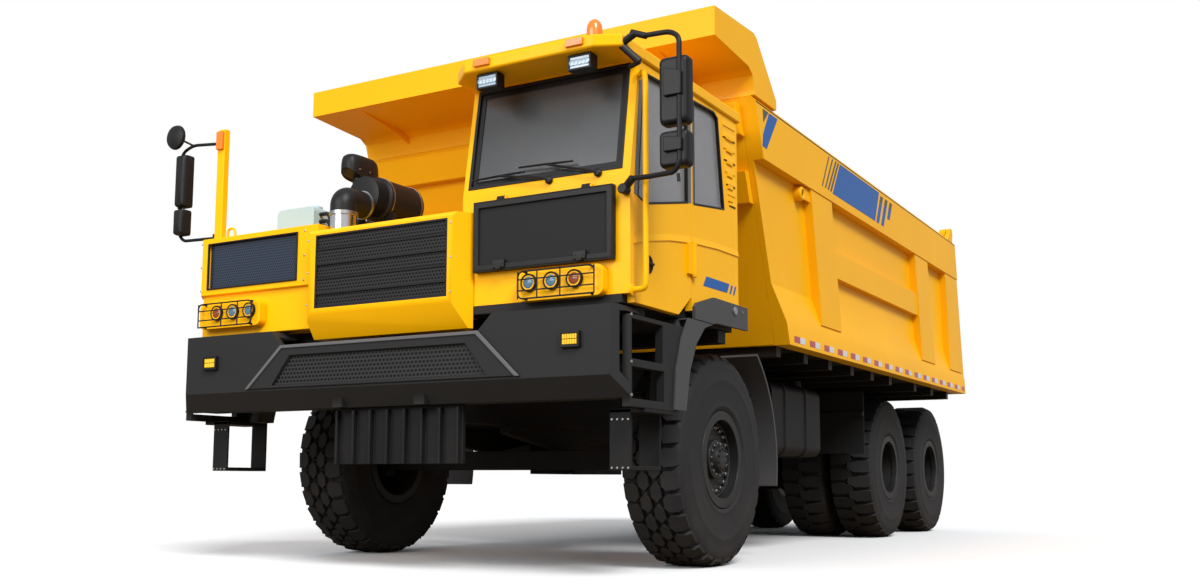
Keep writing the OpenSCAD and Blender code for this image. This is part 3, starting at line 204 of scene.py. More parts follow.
def finish(name, colour, roughness, metallic=0.0, coat=0.0, spread=0.05, ripple=260.0, bump=0.05,
           dust=0.25, dust_high=1.7, chips=0.0, chip_colour=(0.09, 0.085, 0.08, 1.0), punched=None, transmission=0.0,
           shine=0.5, painted_light_zone=None):
    """A material with slow tone changes, surface ripple, road dust and, where asked, chips or punched holes.

    painted_light_zone is (axis, from, to, colour): the finish turns to that colour as the position passes from..to; it
    paints shade or reflection onto one part.
    """
    material = bpy.data.materials.new(name)
    material.use_nodes = True
    tree = material.node_tree
    shader = tree.nodes["Principled BSDF"]
    shader.inputs["Metallic"].default_value = metallic
    shader.inputs["Coat Weight"].default_value = coat
    shader.inputs["Coat Roughness"].default_value = 0.06
    shader.inputs["Specular IOR Level"].default_value = shine
    shader.inputs["Transmission Weight"].default_value = transmission
    flow = use_group(tree, PAINT_FLOW, Scale=ripple, Spread=spread)
    tint = tree.nodes.new("ShaderNodeHueSaturation")
    tint.inputs["Color"].default_value = (*colour, 1.0)
    tree.links.new(flow.outputs["Tone"], tint.inputs["Value"])
    base = tint.outputs["Color"]
    # Painted light: past a height or side, the zone colour paints shade or reflection over the base colour.
    if painted_light_zone:
        split = tree.nodes.new("ShaderNodeSeparateXYZ")
        tree.links.new(object_position(tree), split.inputs[0])
        base = mix_colour(tree, fade(tree, split.outputs[painted_light_zone[0]], painted_light_zone[1], painted_light_zone[2]), base, painted_light_zone[3])
    rough = math_node(tree, "MULTIPLY_ADD", flow.outputs["Tone"], 0.25, roughness - 0.25)
    if punched:
        holes = use_group(tree, PUNCHED, Pitch=punched[0], Hole=punched[1]).outputs["Mask"]
        base = mix_colour(tree, holes, base, (0.002, 0.002, 0.002, 1.0))
    if chips:
        worn = use_group(tree, CHIPS, Scale=16.0, Amount=chips).outputs["Mask"]
        base = mix_colour(tree, worn, base, chip_colour)
        rough = math_node(tree, "MULTIPLY_ADD", worn, 0.3, rough)
    if dust:
        mask = use_group(tree, ROAD_DUST, Low=0.1, High=dust_high, Amount=dust, Scale=2.6).outputs["Mask"]
        base = mix_colour(tree, mask, base, DUST_COLOUR)
        rough = math_node(tree, "MULTIPLY_ADD", mask, 0.4, rough)
    tree.links.new(base, shader.inputs["Base Color"])
    tree.links.new(rough, shader.inputs["Roughness"])
    ridge = tree.nodes.new("ShaderNodeBump")
    ridge.inputs["Strength"].default_value = bump
    ridge.inputs["Distance"].default_value = 0.002
    height = flow.outputs["Height"]
    if punched:
        height = math_node(tree, "SUBTRACT", height, math_node(tree, "MULTIPLY", holes, 4.0))
    tree.links.new(height, ridge.inputs["Height"])
    tree.links.new(ridge.outputs["Normal"], shader.inputs["Normal"])
    return material


CAST = {"ripple": 420, "bump": 0.15}
LENS = {"ripple": 90, "bump": 0.3, "dust": 0.0}
CLEAR = {"ripple": 60, "bump": 0.2, "dust": 0.0, "coat": 0.8}
PANE = {"ripple": 4, "bump": 0.004, "dust": 0.0, "spread": 0.02}
BED = {"dust": 0.05, "dust_high": 2.4}
FLAT = {"coat": 0.1, "dust": 0.03, "shine": 0.25}
# Painted shade: below 1.783 m the bed floor's underside turns near-black, standing in for the shadow under the bed.
UNDER_FLOOR_PAINTED_SHADE = ("Z", 1.79, 1.783, (0.012, 0.011, 0.010, 1.0))
# Painted reflection: the left-side cab panes, past X 1.96 m, turn pale grey, standing in for light reflected in them.
SIDE_PANES_PAINTED_REFLECTION = ("X", 1.94, 1.96, (0.56, 0.57, 0.60, 1.0))
YELLOW = finish("truck_yellow", (0.96, 0.475, 0.001), 0.38, coat=0.04, dust=0.03, chips=0.012, spread=0.03, shine=0.12)
BED_YELLOW = finish("bed_yellow", (0.93, 0.455, 0.002), 0.44, coat=0.03, chips=0.04, spread=0.04, shine=0.16, **BED)
# Bed floor yellow, with painted shade on its underside.
FLOOR_YELLOW_PAINTED_SHADE = finish("bed_floor_yellow_painted_shade", (0.90, 0.44, 0.004), 0.48, chips=0.2, spread=0.06, shine=0.25,
                      painted_light_zone=UNDER_FLOOR_PAINTED_SHADE, **BED)
BUMPER_GREY = finish("bumper_grey", (0.019, 0.019, 0.020), 0.56, dust=0.03, chips=0.03, shine=0.18, **CAST)
EDGE_GREY = finish("bumper_edge_grey", (0.11, 0.11, 0.115), 0.5, dust=0.03, shine=0.3, **CAST)
FLARE_GREY = finish("flare_grey", (0.060, 0.061, 0.064), 0.55, dust=0.06, shine=0.3, **CAST)
CHASSIS_BLACK = finish("chassis_black", (0.008, 0.008, 0.009), 0.55, ripple=180, bump=0.12, dust=0.04, shine=0.2)
TRIM_BLACK = finish("trim_black", (0.009, 0.009, 0.010), 0.45, ripple=360, bump=0.08, dust=0.02, shine=0.25)
LID_BLACK = finish("lid_black", (0.014, 0.014, 0.015), 0.55, ripple=320, dust=0.02, shine=0.15)
RIM_BLACK = finish("rim_black", (0.013, 0.013, 0.014), 0.46, ripple=200, bump=0.1, dust=0.06, chips=0.06, shine=0.35)
RUBBER = finish("tyre_rubber", (0.018, 0.018, 0.020), 0.72, ripple=140, bump=0.35, dust=0.05, dust_high=1.4,
                spread=0.1, shine=0.3)
STEEL = finish("bolt_steel", (0.42, 0.42, 0.42), 0.36, metallic=1.0, ripple=240, bump=0.08, dust=0.05)
CHROME = finish("rod_chrome", (0.74, 0.74, 0.76), 0.20, metallic=1.0, ripple=120, bump=0.02, dust=0.03)
GRILLE_BLACK = finish("grille_punched", (0.026, 0.026, 0.028), 0.55, dust=0.03, punched=(0.028, 0.34), shine=0.15)
MESH_BLACK = finish("bumper_mesh", (0.030, 0.030, 0.031), 0.5, dust=0.04, punched=(0.034, 0.36), shine=0.2)
BOX_MESH = finish("box_mesh", (0.020, 0.036, 0.070), 0.28, coat=0.3, dust=0.02, punched=(0.024, 0.34), shine=0.4)
# Cab glass, with painted reflection on the left-side panes.
GLASS_PAINTED_REFLECTION = finish("cab_glass", (0.17, 0.18, 0.19), 0.22, transmission=0.70, painted_light_zone=SIDE_PANES_PAINTED_REFLECTION, **PANE)
PILLAR_GREY = finish("window_border_grey", (0.100, 0.103, 0.108), 0.22, **PANE)
AMBER = finish("amber_lens", (0.92, 0.20, 0.004), 0.30, coat=0.5, **LENS)
LAMP_AMBER = finish("lamp_amber", (0.30, 0.060, 0.012), 0.26, coat=0.6, **LENS)
BULB_YELLOW = finish("lamp_yellow", (0.90, 0.55, 0.01), 0.30, coat=0.4, **LENS)
CLEAR_BLUE = finish("lamp_clear", (0.36, 0.50, 0.64), 0.26, **CLEAR)
LAMP_BLUE = finish("lamp_blue", (0.10, 0.22, 0.32), 0.22, **CLEAR)
TANK_WHITE = finish("tank_white", (0.42, 0.55, 0.56), 0.45, ripple=160, bump=0.06, dust=0.02, shine=0.3)
SEAT_CLOTH = finish("seat_cloth", (0.022, 0.023, 0.026), 0.88, ripple=900, bump=0.5, dust=0.0, spread=0.12)
CABIN_PLASTIC = finish("cabin_plastic", (0.014, 0.014, 0.015), 0.62, ripple=700, bump=0.3, dust=0.0, shine=0.25)
STRIPE_BLUE = finish("stripe_blue", (0.004, 0.095, 0.360), 0.4, **FLAT)
STRIPE_GREY = finish("stripe_grey", (0.075, 0.070, 0.060), 0.4, **FLAT)
MARK_WHITE = finish("mark_white", (0.62, 0.64, 0.68), 0.35, dust=0.02)
REFLECT_RED = finish("reflector_red", (0.42, 0.02, 0.012), 0.3, ripple=500, bump=0.3, dust=0.02, coat=0.4)
MIRROR_FACE = finish("mirror_face", (0.75, 0.77, 0.78), 0.27, metallic=1.0, ripple=6, bump=0.0, dust=0.0, spread=0.0)


# Mesh making


AXIS_ORDER = {"x": lambda a, b, c: (c, a, b), "y": lambda a, b, c: (a, c, b), "z": lambda a, b, c: (a, b, c)}


def rectangle(a0, a1, b0, b1):
    return [(a0, b0), (a1, b0), (a1, b1), (a0, b1)]


class Shape:
    """Collects the faces of one piece, in millimetres and stations."""

    def __init__(self):
        self.points = []
        self.faces = []

    def add(self, points, faces):
        start = len(self.points)
        self.points += [tuple(p) for p in points]
        self.faces += [tuple(start + i for i in face) for face in faces]
        return self

    def prism(self, outline, axis, low, high):
        """An outline in the other two axes, in X, Y, Z order, thickened along axis."""
        spot = AXIS_ORDER[axis]
        n = len(outline)
        points = [spot(a, b, low) for a, b in outline] + [spot(a, b, high) for a, b in outline]
        sides = [(i, (i + 1) % n, (i + 1) % n + n, i + n) for i in range(n)]
        return self.add(points, [tuple(range(n - 1, -1, -1)), tuple(range(n, 2 * n))] + sides)

    def box(self, low, high):
        return self.prism(rectangle(low[0], high[0], low[1], high[1]), "z", low[2], high[2])

    def wedge(self, near, far):
        """A three-sided bar between two triangles."""
        return self.add(near + far, [(0, 2, 1), (3, 4, 5), (0, 1, 4, 3), (1, 2, 5, 4), (2, 0, 3, 5)])

    def loft(self, rings):
        """A skin over rings of the same number of points, with flat ends."""
        n = len(rings[0])
        last = (len(rings) - 1) * n
        faces = [(i + k, i + (k + 1) % n, i + n + (k + 1) % n, i + n + k) for i in range(0, last, n) for k in range(n)]
        faces += [tuple(range(n - 1, -1, -1)), tuple(last + k for k in range(n))]
        return self.add([p for ring in rings for p in ring], faces)

    def ring(self, outer, inner, axis, low, high):
        """A frame between two outlines of the same number of corners."""
        spot = AXIS_ORDER[axis]
        n = len(outer)
        points = [spot(a, b, c) for c in (low, high) for line in (outer, inner) for a, b in line]
        faces = []
        for i in range(n):
            j = (i + 1) % n
            faces += [(i, j, n + j, n + i), (2 * n + i, 3 * n + i, 3 * n + j, 2 * n + j)]
            faces += [(i, 2 * n + i, 2 * n + j, j), (n + i, n + j, 3 * n + j, 3 * n + i)]
        return self.add(points, faces)

    def lathe(self, profile, centre, axis, sides=48, closed=False):
        """A turned profile of (radius, distance along axis)."""
        along = Vector(axis).normalized()
        side = along.orthogonal().normalized()
        other = along.cross(side)
        n = len(profile)
        points = []
        for k in range(sides):
            a = 2 * math.pi * k / sides
            out = side * math.cos(a) + other * math.sin(a)
            points += [Vector(centre) + along * s + out * r for r, s in profile]
        faces = []
        last = n if closed else n - 1
        for k in range(sides):
            here, there = k * n, (k + 1) % sides * n
            faces += [(here + i, there + i, there + (i + 1) % n, here + (i + 1) % n) for i in range(last)]
        if not closed:
            faces += [tuple(k * n for k in range(sides - 1, -1, -1)), tuple(k * n + n - 1 for k in range(sides))]
        return self.add(points, faces)

    def tube(self, path, radius, sides=12):
        """A round tube along a path, with flat ends."""
        path = [Vector(p) for p in path]
        rings = []
        normal = None
        for i, p in enumerate(path):
            ahead = path[min(i + 1, len(path) - 1)] - path[max(i - 1, 0)]
            ahead.normalize()
            if normal is None:
                normal = ahead.orthogonal().normalized()
            normal = (normal - ahead * normal.dot(ahead)).normalized()
            other = ahead.cross(normal)
            angles = [2 * math.pi * k / sides for k in range(sides)]
            rings.append([p + (normal * math.cos(a) + other * math.sin(a)) * radius for a in angles])
        return self.loft(rings)

    def nuts(self, centre, axis, radius, count, size, height, start=0.0, sides=6):
        """A ring of nuts with stud ends, standing on a plane."""
        along = Vector(axis).normalized()
        side = along.orthogonal().normalized()
        other = along.cross(side)
        for k in range(count):
            a = 2 * math.pi * (k + start) / count
            spot = Vector(centre) + (side * math.cos(a) + other * math.sin(a)) * radius
            nut = [(size, -2), (size, height * 0.55), (size * 0.85, height * 0.62), (size * 0.45, height * 0.64),
                   (size * 0.42, height)]
            self.lathe(nut, spot, along, sides)
        return self

    def bolt(self, spot, axis, size, height):
        return self.lathe([(size, -1), (size, height * 0.7), (size * 0.8, height)], spot, axis, 6)


def rounded(points, radius, steps=6):
    """A path whose corners are rounded off."""
    points = [Vector(p) for p in points]
    path = [points[0]]
    for a, b, c in zip(points, points[1:], points[2:]):
        reach = min(radius, (b - a).length * 0.45, (c - b).length * 0.45)
        start = b + (a - b).normalized() * reach
        end = b + (c - b).normalized() * reach
        for k in range(steps + 1):
            t = k / steps
            path.append(start * (1 - t) ** 2 + b * 2 * t * (1 - t) + end * t ** 2)
    return path + [points[-1]]


def settle(obj, body, bevel, smooth):
    """Shading, edge rounding, and the body that the piece moves with."""
    mesh = obj.data
    mesh.shade_smooth()
    mesh.set_sharp_from_angle(angle=math.radians(smooth))
    if bevel:
        edge = obj.modifiers.new("edges", "BEVEL")
        edge.width = bevel * MM
        edge.segments = 2
        edge.limit_method = "ANGLE"
        edge.angle_limit = math.radians(38)
        edge.use_clamp_overlap = True
        normals = obj.modifiers.new("normals", "WEIGHTED_NORMAL")
        normals.keep_sharp = True
    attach(obj, body)
    return obj


def make(name, shape, material, body="chassis", bevel=0.0, smooth=35, replaces=()):
    """One piece from a Shape."""
    mesh = bpy.data.meshes.new(name)
    mesh.from_pydata([place(p) for p in shape.points], [], shape.faces)
    bm = bmesh.new()
    bm.from_mesh(mesh)
    bmesh.ops.recalc_face_normals(bm, faces=bm.faces)
    bm.to_mesh(mesh)
    bm.free()
    mesh.materials.append(material)
    obj = bpy.data.objects.new(name, mesh)
    bpy.context.collection.objects.link(obj)
    settle(obj, body, bevel, smooth)
    if replaces:
        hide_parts(*replaces)
    return obj


def dressed(node, material, bevel=5.0, smooth=35, fitted=None):
    """A node's own shape with rounded edges, in its place; fitted(x, y, z) may move its corners."""
    bm = bmesh.new()
    bm.from_mesh(frame["nodes"][node].data)
    bmesh.ops.remove_doubles(bm, verts=bm.verts, dist=2e-5)
    if fitted:
        for corner in bm.verts:
            x, y, z = corner.co
            corner.co = place(fitted(x / MM, (y - FRONT_AXLE_Y) / MM, z / MM))
    bmesh.ops.dissolve_limit(bm, angle_limit=math.radians(0.4), verts=bm.verts, edges=bm.edges)
    bmesh.ops.recalc_face_normals(bm, faces=bm.faces)
    mesh = bpy.data.meshes.new(node + "_shape")
    bm.to_mesh(mesh)
    bm.free()
    mesh.materials.append(material)
    obj = bpy.data.objects.new(node + "_dressed", mesh)
    bpy.context.collection.objects.link(obj)
    settle(obj, BODY_OF_NODE[node], bevel, smooth)
    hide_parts(node)
    return obj


def coated(node, material):
    """A node that keeps its own shape and gets a better finish."""
    obj = frame["nodes"][node]
    for slot in obj.material_slots:
        slot.material = material
    if not obj.material_slots:
        obj.data.materials.append(material)


# Corners fitted to the photographed shape


def along(value, table):
    """Straight-line reading of a table of (value, result) rows."""
    for (a, p), (b, q) in zip(table, table[1:]):
        if value <= b:
            return p + (q - p) * max(0.0, value - a) / (b - a)
    return table[-1][1]


def wall_y(z):
    """Station of the bed's leaning front wall at a height."""
    return 241 + (3756 - z) * 720 / 1987


def packed_wall_y(z):
    return along(z, ((1780, 690), (2270, 520), (3155, 235), (4300, 235)))


def bed_side_corner(x, y, z):
    rib_front = 1355 + (3245 - z) * 431 / 1205
    rib_fitted = 1576 + (3245 - z) * 231 / 1205
    rib_rear = 2145 + (3245 - z) * 215 / 1205
    if y < rib_rear - 1:
        y = along(y, ((packed_wall_y(z), wall_y(z)), (rib_front, rib_fitted), (rib_rear, rib_rear)))
    return x, y, z


def bed_front_corner(x, y, z):
    proud = y - packed_wall_y(z)
    if 3299 < z < 3501:
        z = 3430 if z < 3400 else 3675
    return x, wall_y(z) + proud, z


def bed_floor_corner(x, y, z):
    return x, 1017 if y < 760 else y, z


def canopy_corner(x, y, z):
    return x, y if z > 4100 else along(y, ((-523, -523), (28, 132), (174, 216), (235, 250), (729, 729))), z


def post_corner(x, y, z):
    if z > 2559 and -1871 < x < -1724 and -1791 < y < -1689:
        return -1847 if x < -1800 else -1767, min(y, -1735), 3485 if z > 3400 else z
    return x, y, z


def ladder_corner(x, y, z):
    return x - math.copysign(103, x), -1658 + (y + 1850) * 430 / 435, z


def guard_corner(x, y, z):
    return -460 + (x + 620) * 1130 / 1240, y, z - 55 if z < 900 else z


# Finishes on the nodes
for node in ("cab_front", "cab_rear", "cab_right_wall", "cab_quarter", "door", "hood"):
    dressed(node, YELLOW, 9)
dressed("right_box", YELLOW, 9, fitted=post_corner)
dressed("cab_roof", YELLOW, 22)
BED_NODES = (("bed_floor", bed_floor_corner), ("bed_front", bed_front_corner), ("bed_side_left", bed_side_corner),
             ("bed_side_right", bed_side_corner), ("canopy", canopy_corner), ("tailgate", None))
for node, corner in BED_NODES:
    dressed(node, FLOOR_YELLOW_PAINTED_SHADE if node == "bed_floor" else BED_YELLOW, 8, fitted=corner)
dressed("bumper", BUMPER_GREY, 7)
dressed("fenders", FLARE_GREY, 7)
dressed("front_lid", LID_BLACK, 6)
dressed("ladders", CHASSIS_BLACK, 4, fitted=ladder_corner)
dressed("front_guard", CHASSIS_BLACK, 5, fitted=guard_corner)
for node in ("outriggers", "cross_members", "hoist_mount", "frame_rails", "front_axle",
             "rear_axles", "powertrain", "side_tanks", "knuckle_left", "knuckle_right"):
    dressed(node, CHASSIS_BLACK, 5)
for node in ("mudflaps", "dashboard", "cab_floor"):
    dressed(node, CABIN_PLASTIC, 4)
for node in ("hoist_stage_1", "hoist_stage_2", "hoist_rods"):
    coated(node, CHROME)
dressed("hoist_barrels", CHASSIS_BLACK, 4)
for node in ("cab_glass", "door_glass"):
    coated(node, GLASS_PAINTED_REFLECTION)
dressed("box_mesh", BOX_MESH, 1)
dressed("header_tank", TANK_WHITE, 12)


# Wheels

TYRE_R = 810
TREAD_BASE = 768
SIDE = [(331, 214), (372, 214), (379, 232), (396, 240), (404, 246), (414, 246), (422, 243), (470, 247),
        (530, 249.5), (590, 250), (598, 252), (612, 252), (620, 249), (680, 246), (722, 240), (748, 231),
        (764, 217), (TREAD_BASE, 190), (TREAD_BASE, 90)]


def tread_block(shape, centre, outline, base, scale=1.10):
    """One raised block: an outline of (arc, across) at the crown, wider at its foot."""
    x0, y0 = centre
    middle_s = sum(s for s, x in outline) / len(outline)
    middle_x = sum(x for s, x in outline) / len(outline)
    points = []
    for grow, lift in ((scale, base), (1.0, None)):
        for s, x in outline:
            s2 = middle_s + (s - middle_s) * grow
            x2 = middle_x + (x - middle_x) * grow
            over = max(0.0, abs(x2) - 184)
            r = TYRE_R - over * over * 0.020 if lift is None else min(lift, TYRE_R - 22 - over * over * 0.020)
            a = s2 / TYRE_R
            points.append((x0 + x2, y0 + r * math.cos(a), AXLE_Z + r * math.sin(a)))
    n = len(outline)
    faces = [tuple(range(2 * n - 1, n - 1, -1))] + [(i, (i + 1) % n, (i + 1) % n + n, i + n) for i in range(n)]
    shape.add(points, faces)


PITCHES = 30
PITCH = 2 * math.pi * TYRE_R / PITCHES


def front_tread(shape, centre, turn):
    """Two staggered rows of six-sided blocks between wide shoulder blocks."""
    middle = [(-0.43, 44), (-0.22, 6), (0.22, 6), (0.43, 44), (0.22, 86), (-0.22, 86)]
    shoulder = [(-0.22, 96), (0.22, 96), (0.41, 128), (0.38, 204), (0.33, 226), (-0.33, 226), (-0.38, 204),
                (-0.41, 128)]
    for k in range(PITCHES):
        for side in (-1, 1):
            step = 0.0 if side * turn > 0 else 0.5
            s = (k + step) * PITCH
            tread_block(shape, centre, [(s + a * PITCH, side * x) for a, x in shoulder], TREAD_BASE, 1.05)
            s = (k + step + 0.5) * PITCH
            tread_block(shape, centre, [(s + a * PITCH, side * x) for a, x in middle], TREAD_BASE, 1.08)


def rear_tread(shape, centre, turn):
    """Cranked blocks that run from the middle to the shoulder and interlock."""
    lug = [(-0.34, -14), (0.10, -22), (0.38, 60), (0.36, 118), (0.40, 160), (0.38, 224), (-0.32, 224), (-0.36, 160),
           (-0.40, 118), (-0.30, 60)]
    for k in range(PITCHES):
        for side in (-1, 1):
            s = (k + (0.0 if side * turn > 0 else 0.5)) * PITCH
            tread_block(shape, centre, [(s + a * PITCH, side * x) for a, x in lug], TREAD_BASE, 1.05)


def tyres(name, centres, y, tread, body, node):
    """The tyres of one wheel, with beaded sidewalls and raised tread."""
    shape = Shape()
    profile = SIDE + [(r, -x) for r, x in reversed(SIDE)]
    for x in centres:
        shape.lathe(profile, (x, y, AXLE_Z), LEFT, 96, closed=True)
        tread(shape, (x, y), 1 if x > 0 else -1)
    make(name, shape, RUBBER, body, smooth=42, replaces=(node,))


def front_hub(side, name, body):
    """Studs, flange and cap of a front hub."""
    x = side * FRONT_TYRE_X
    out = (side, 0, 0)
    shape = Shape().nuts((x + side * 140, 0, AXLE_Z), out, 245, 20, 15, 42)
    shape.nuts((x + side * 185, 0, AXLE_Z), out, 122, 14, 11, 22)
    make(name + "_studs", shape, STEEL, body, smooth=30)
    cap = Shape().lathe([(150, 0), (150, 12), (138, 20), (104, 22), (100, 48), (94, 62), (60, 68), (0.5, 70)],
                        (x + side * 166, 0, AXLE_Z), out, 48)
    ring = [(288, 60), (296, 74), (296, 92), (284, 98), (276, 92), (276, 74)]
    cap.lathe(ring, (x + side * 70, 0, AXLE_Z), out, 64, closed=True)
    for k in range(10):
        a = 2 * math.pi * (k + 0.5) / 10
        cap.bolt((x + side * 233, 78 * math.cos(a), AXLE_Z + 78 * math.sin(a)), out, 9, 10)
    make(name + "_hub_cap", cap, RIM_BLACK, body, smooth=30)


def rear_hub(side, y, name, body):
    """Studs and hub cap in the dish of a twin wheel."""
    x = side * TWIN_X
    out = (side, 0, 0)
    shape = Shape().nuts((x + side * 54, y, AXLE_Z), out, 240, 20, 15, 44)
    shape.nuts((x + side * 248, y, AXLE_Z), out, 132, 14, 11, 24)
    make(name + "_studs", shape, STEEL, body, smooth=30)
    profile = [(172, 0), (172, 16), (160, 22), (160, 200), (152, 206), (116, 208), (112, 244), (92, 262), (0.5, 266)]
    cap = Shape().lathe(profile, (x + side * 50, y, AXLE_Z), out, 48)
    ring = [(286, 470), (298, 470), (298, 500), (286, 500)]
    cap.lathe(ring, (x, y, AXLE_Z), out, 64, closed=True)
    make(name + "_hub_cap", cap, RIM_BLACK, body, smooth=30)


for word, side in (("left", 1), ("right", -1)):
    wheel = "front_wheel_" + word
    tyres(wheel + "_tyre", [side * FRONT_TYRE_X], 0, front_tread, wheel, "front_tyre_" + word)
    dressed("front_rim_" + word, RIM_BLACK, 4)
    front_hub(side, wheel, wheel)
    for axle, y in enumerate(REAR_AXLES, 1):
        wheel = f"rear_wheels_{axle}_{word}"
        centres = [side * (TWIN_X - TWIN_HALF), side * (TWIN_X + TWIN_HALF)]
        tyres(wheel + "_tyres", centres, y, rear_tread, wheel, f"rear_tyres_{axle}_{word}")
        dressed(f"rear_rims_{axle}_{word}", RIM_BLACK, 4)
        rear_hub(side, y, wheel, wheel)


# Cab outside

CAB_SIDE = 2000


def face_y(z):
    """Station of the cab's face at a height."""
    return -1840 + 128 * max(0, z - 2600) / (3405 - 2600)


def inset(outline, by):
    """An outline moved in on itself by a distance, for convex outlines."""
    n = len(outline)
    area = sum(outline[i][0] * outline[(i + 1) % n][1] - outline[(i + 1) % n][0] * outline[i][1] for i in range(n))
    turn = 1 if area > 0 else -1
    moved = []
    for i in range(n):
        a, b, c = (Vector(outline[(i + k) % n]) for k in (-1, 0, 1))
        d1, d2 = (b - a).normalized(), (c - b).normalized()
        n1 = Vector((-d1.y, d1.x)) * turn
        n2 = Vector((-d2.y, d2.x)) * turn
        bisector = (n1 + n2).normalized()
        moved.append(tuple(b + bisector * (by / max(0.3, bisector.dot(n1)))))
    return moved


WINDSHIELD = rectangle(732, 1928, 2662, 3378)
border = Shape().ring(WINDSHIELD, inset(WINDSHIELD, 46), "y", 0, 6)
border.points = [(x, face_y(z) + 13 + y, z) for x, y, z in border.points]
seal = Shape().ring(inset(WINDSHIELD, -14), inset(WINDSHIELD, 10), "y", 0, 16)
seal.points = [(x, face_y(z) - 5 + y, z) for x, y, z in seal.points]
make("windshield_border", border, TRIM_BLACK)
make("windshield_seal", seal, TRIM_BLACK, bevel=4)

DOOR_WINDOW = [(-1735, 2480), (-1650, 3335), (-980, 3360), (-980, 2590), (-1625, 2450)]
QUARTER_WINDOW = [(-875, 2600), (-875, 3360), (-520, 3375), (-450, 3345), (-345, 2670)]
for name, outline, body in (("door", DOOR_WINDOW, "door"), ("quarter", QUARTER_WINDOW, "chassis")):
    strip = Shape().ring(inset(outline, -6), inset(outline, 9), "x", 1980, 2004)
    make(name + "_window_seal", strip, TRIM_BLACK, body, bevel=3)

glazed = Shape().prism([(-986, 2588), (-986, 3362), (-925, 3362), (-925, 2600)], "x", CAB_SIDE, 2003)
glazed.prism([(-1786, 2486), (-1743, 2478), (-1658, 3337), (-1702, 3335)], "x", CAB_SIDE, 2003)
make("door_window_border", glazed, PILLAR_GREY, "door")
glazed = Shape().prism([(-898, 2598), (-898, 3362), (-870, 3362), (-870, 2600)], "x", CAB_SIDE, 2003)
make("quarter_window_border", glazed, PILLAR_GREY)

wipers = Shape()
for pivot, blade in (((1390, 2635), ((760, 2712), (1190, 2722))), ((1767, 2635), ((1140, 2758), (1570, 2745)))):
    hub = (pivot[0], face_y(pivot[1]) - 4, pivot[1])
    wipers.lathe([(26, 0), (26, 18), (18, 26), (0.5, 28)], (pivot[0], -1838, pivot[1]), AHEAD, 16)
    ends = [Vector((x, face_y(z) - 14, z)) for x, z in blade]
    middle = ends[0].lerp(ends[1], 0.5)
    arm = [(hub[0], hub[1] - 22, hub[2]), (hub[0] - 60, hub[1] - 34, hub[2] + 22), middle - Vector((0, 16, 0))]
    wipers.tube(rounded(arm, 60), 8, 8)
    wipers.tube([ends[0] - Vector((0, 8, 0)), middle - Vector((0, 18, 0)), ends[1] - Vector((0, 8, 0))], 6, 8)
    wipers.tube(ends, 5, 8)
make("wipers", wipers, TRIM_BLACK)

LID = rectangle(809, 1899, 2055, 2536)
lid = Shape().ring(inset(LID, 4), inset(LID, 44), "y", -1898, -1886)
make("lid_rim", lid, TRIM_BLACK, "front_lid", bevel=5)
latches = Shape()
for x in (1031, 1663):
    latches.prism([(-1898, 2062), (-1912, 2070), (-1912, 2112), (-1904, 2128), (-1898, 2128)], "x", x - 46, x + 46)
    latches.box((x - 20, -1918, 2058), (x + 20, -1898, 2078))
    for side in (-1, 1):
        latches.bolt((x + side * 30, -1911, 2094), AHEAD, 6, 4)
make("lid_latches", latches, TRIM_BLACK, "front_lid", bevel=2)

HANDLE = (1999, -1592, 2052)
handle = Shape().lathe([(62, 0), (62, 8), (52, 13), (42, 5), (0.5, 4)], HANDLE, LEFT, 36)
handle.tube(rounded([(2002, -1634, 2052), (2022, -1628, 2052), (2024, -1556, 2052), (2004, -1550, 2052)], 16), 10, 12)
make("door_handle", handle, TRIM_BLACK, "door")

BELT = [(-1790, 2158), (-1603, 2204), (-1278, 2266), (-942, 2308)]
QUARTER_BELT = [(-912, 2312), (-481, 2342), (-90, 2350)]


def belt_lip(name, line, body):
    """A small lip with a flat underside along the cab's belt."""
    lip = Shape()
    for (y0, z0), (y1, z1) in zip(line, line[1:]):
        near, far = ([(CAB_SIDE, y, z), (2009, y, z), (CAB_SIDE, y, z + 46)] for y, z in ((y0, z0), (y1, z1)))
        lip.wedge(near, far)
    make(name, lip, YELLOW, body)


belt_lip("door_crease", BELT, "door")
belt_lip("quarter_crease", QUARTER_BELT, "chassis")
louvres, slits = Shape(), Shape()
LOUVRES = ((-355, 3322), (-357, 3234), (-350, 3147), (-340, 3060), (-322, 2969), (-302, 2878), (-276, 2800),
           (-250, 2721))
for i, (y, z) in enumerate(LOUVRES):
    out = 2010 if i % 2 else 2006
    louvres.wedge([(CAB_SIDE, y, z), (out, y, z), (CAB_SIDE, y + 14, z + 52)],
                  [(CAB_SIDE, -134, z + 4), (out, -134, z + 4), (CAB_SIDE, -134, z + 56)])
    if i % 2:
        slits.box((CAB_SIDE, y, z - 7), (2004, -134, z - 1))
make("quarter_louvres", louvres, YELLOW)
make("quarter_slits", slits, TRIM_BLACK)
hinge = Shape()
for low, high in ((2098, 2165), (2171, 2238)):
    hinge.lathe([(17, low), (20, low + 3), (20, high - 3), (17, high)], (2012, -899, 0), UP, 20)
    hinge.prism([(-899, low + 4), (-862, low + 4), (-862, high - 4), (-899, high - 4)], "x", CAB_SIDE, 2012)
make("door_hinge", hinge, YELLOW, bevel=3)
plate = Shape().prism([(-734, 2034), (-308, 2041), (-261, 2114), (-675, 2110)], "x", CAB_SIDE, 2002)
for y in (-262, -196):
    plate.prism([(y, 2040), (y + 26, 2040), (y + 66, 2110), (y + 36, 2110)], "x", CAB_SIDE, 2002)
make("cab_stripe", plate, STRIPE_BLUE)

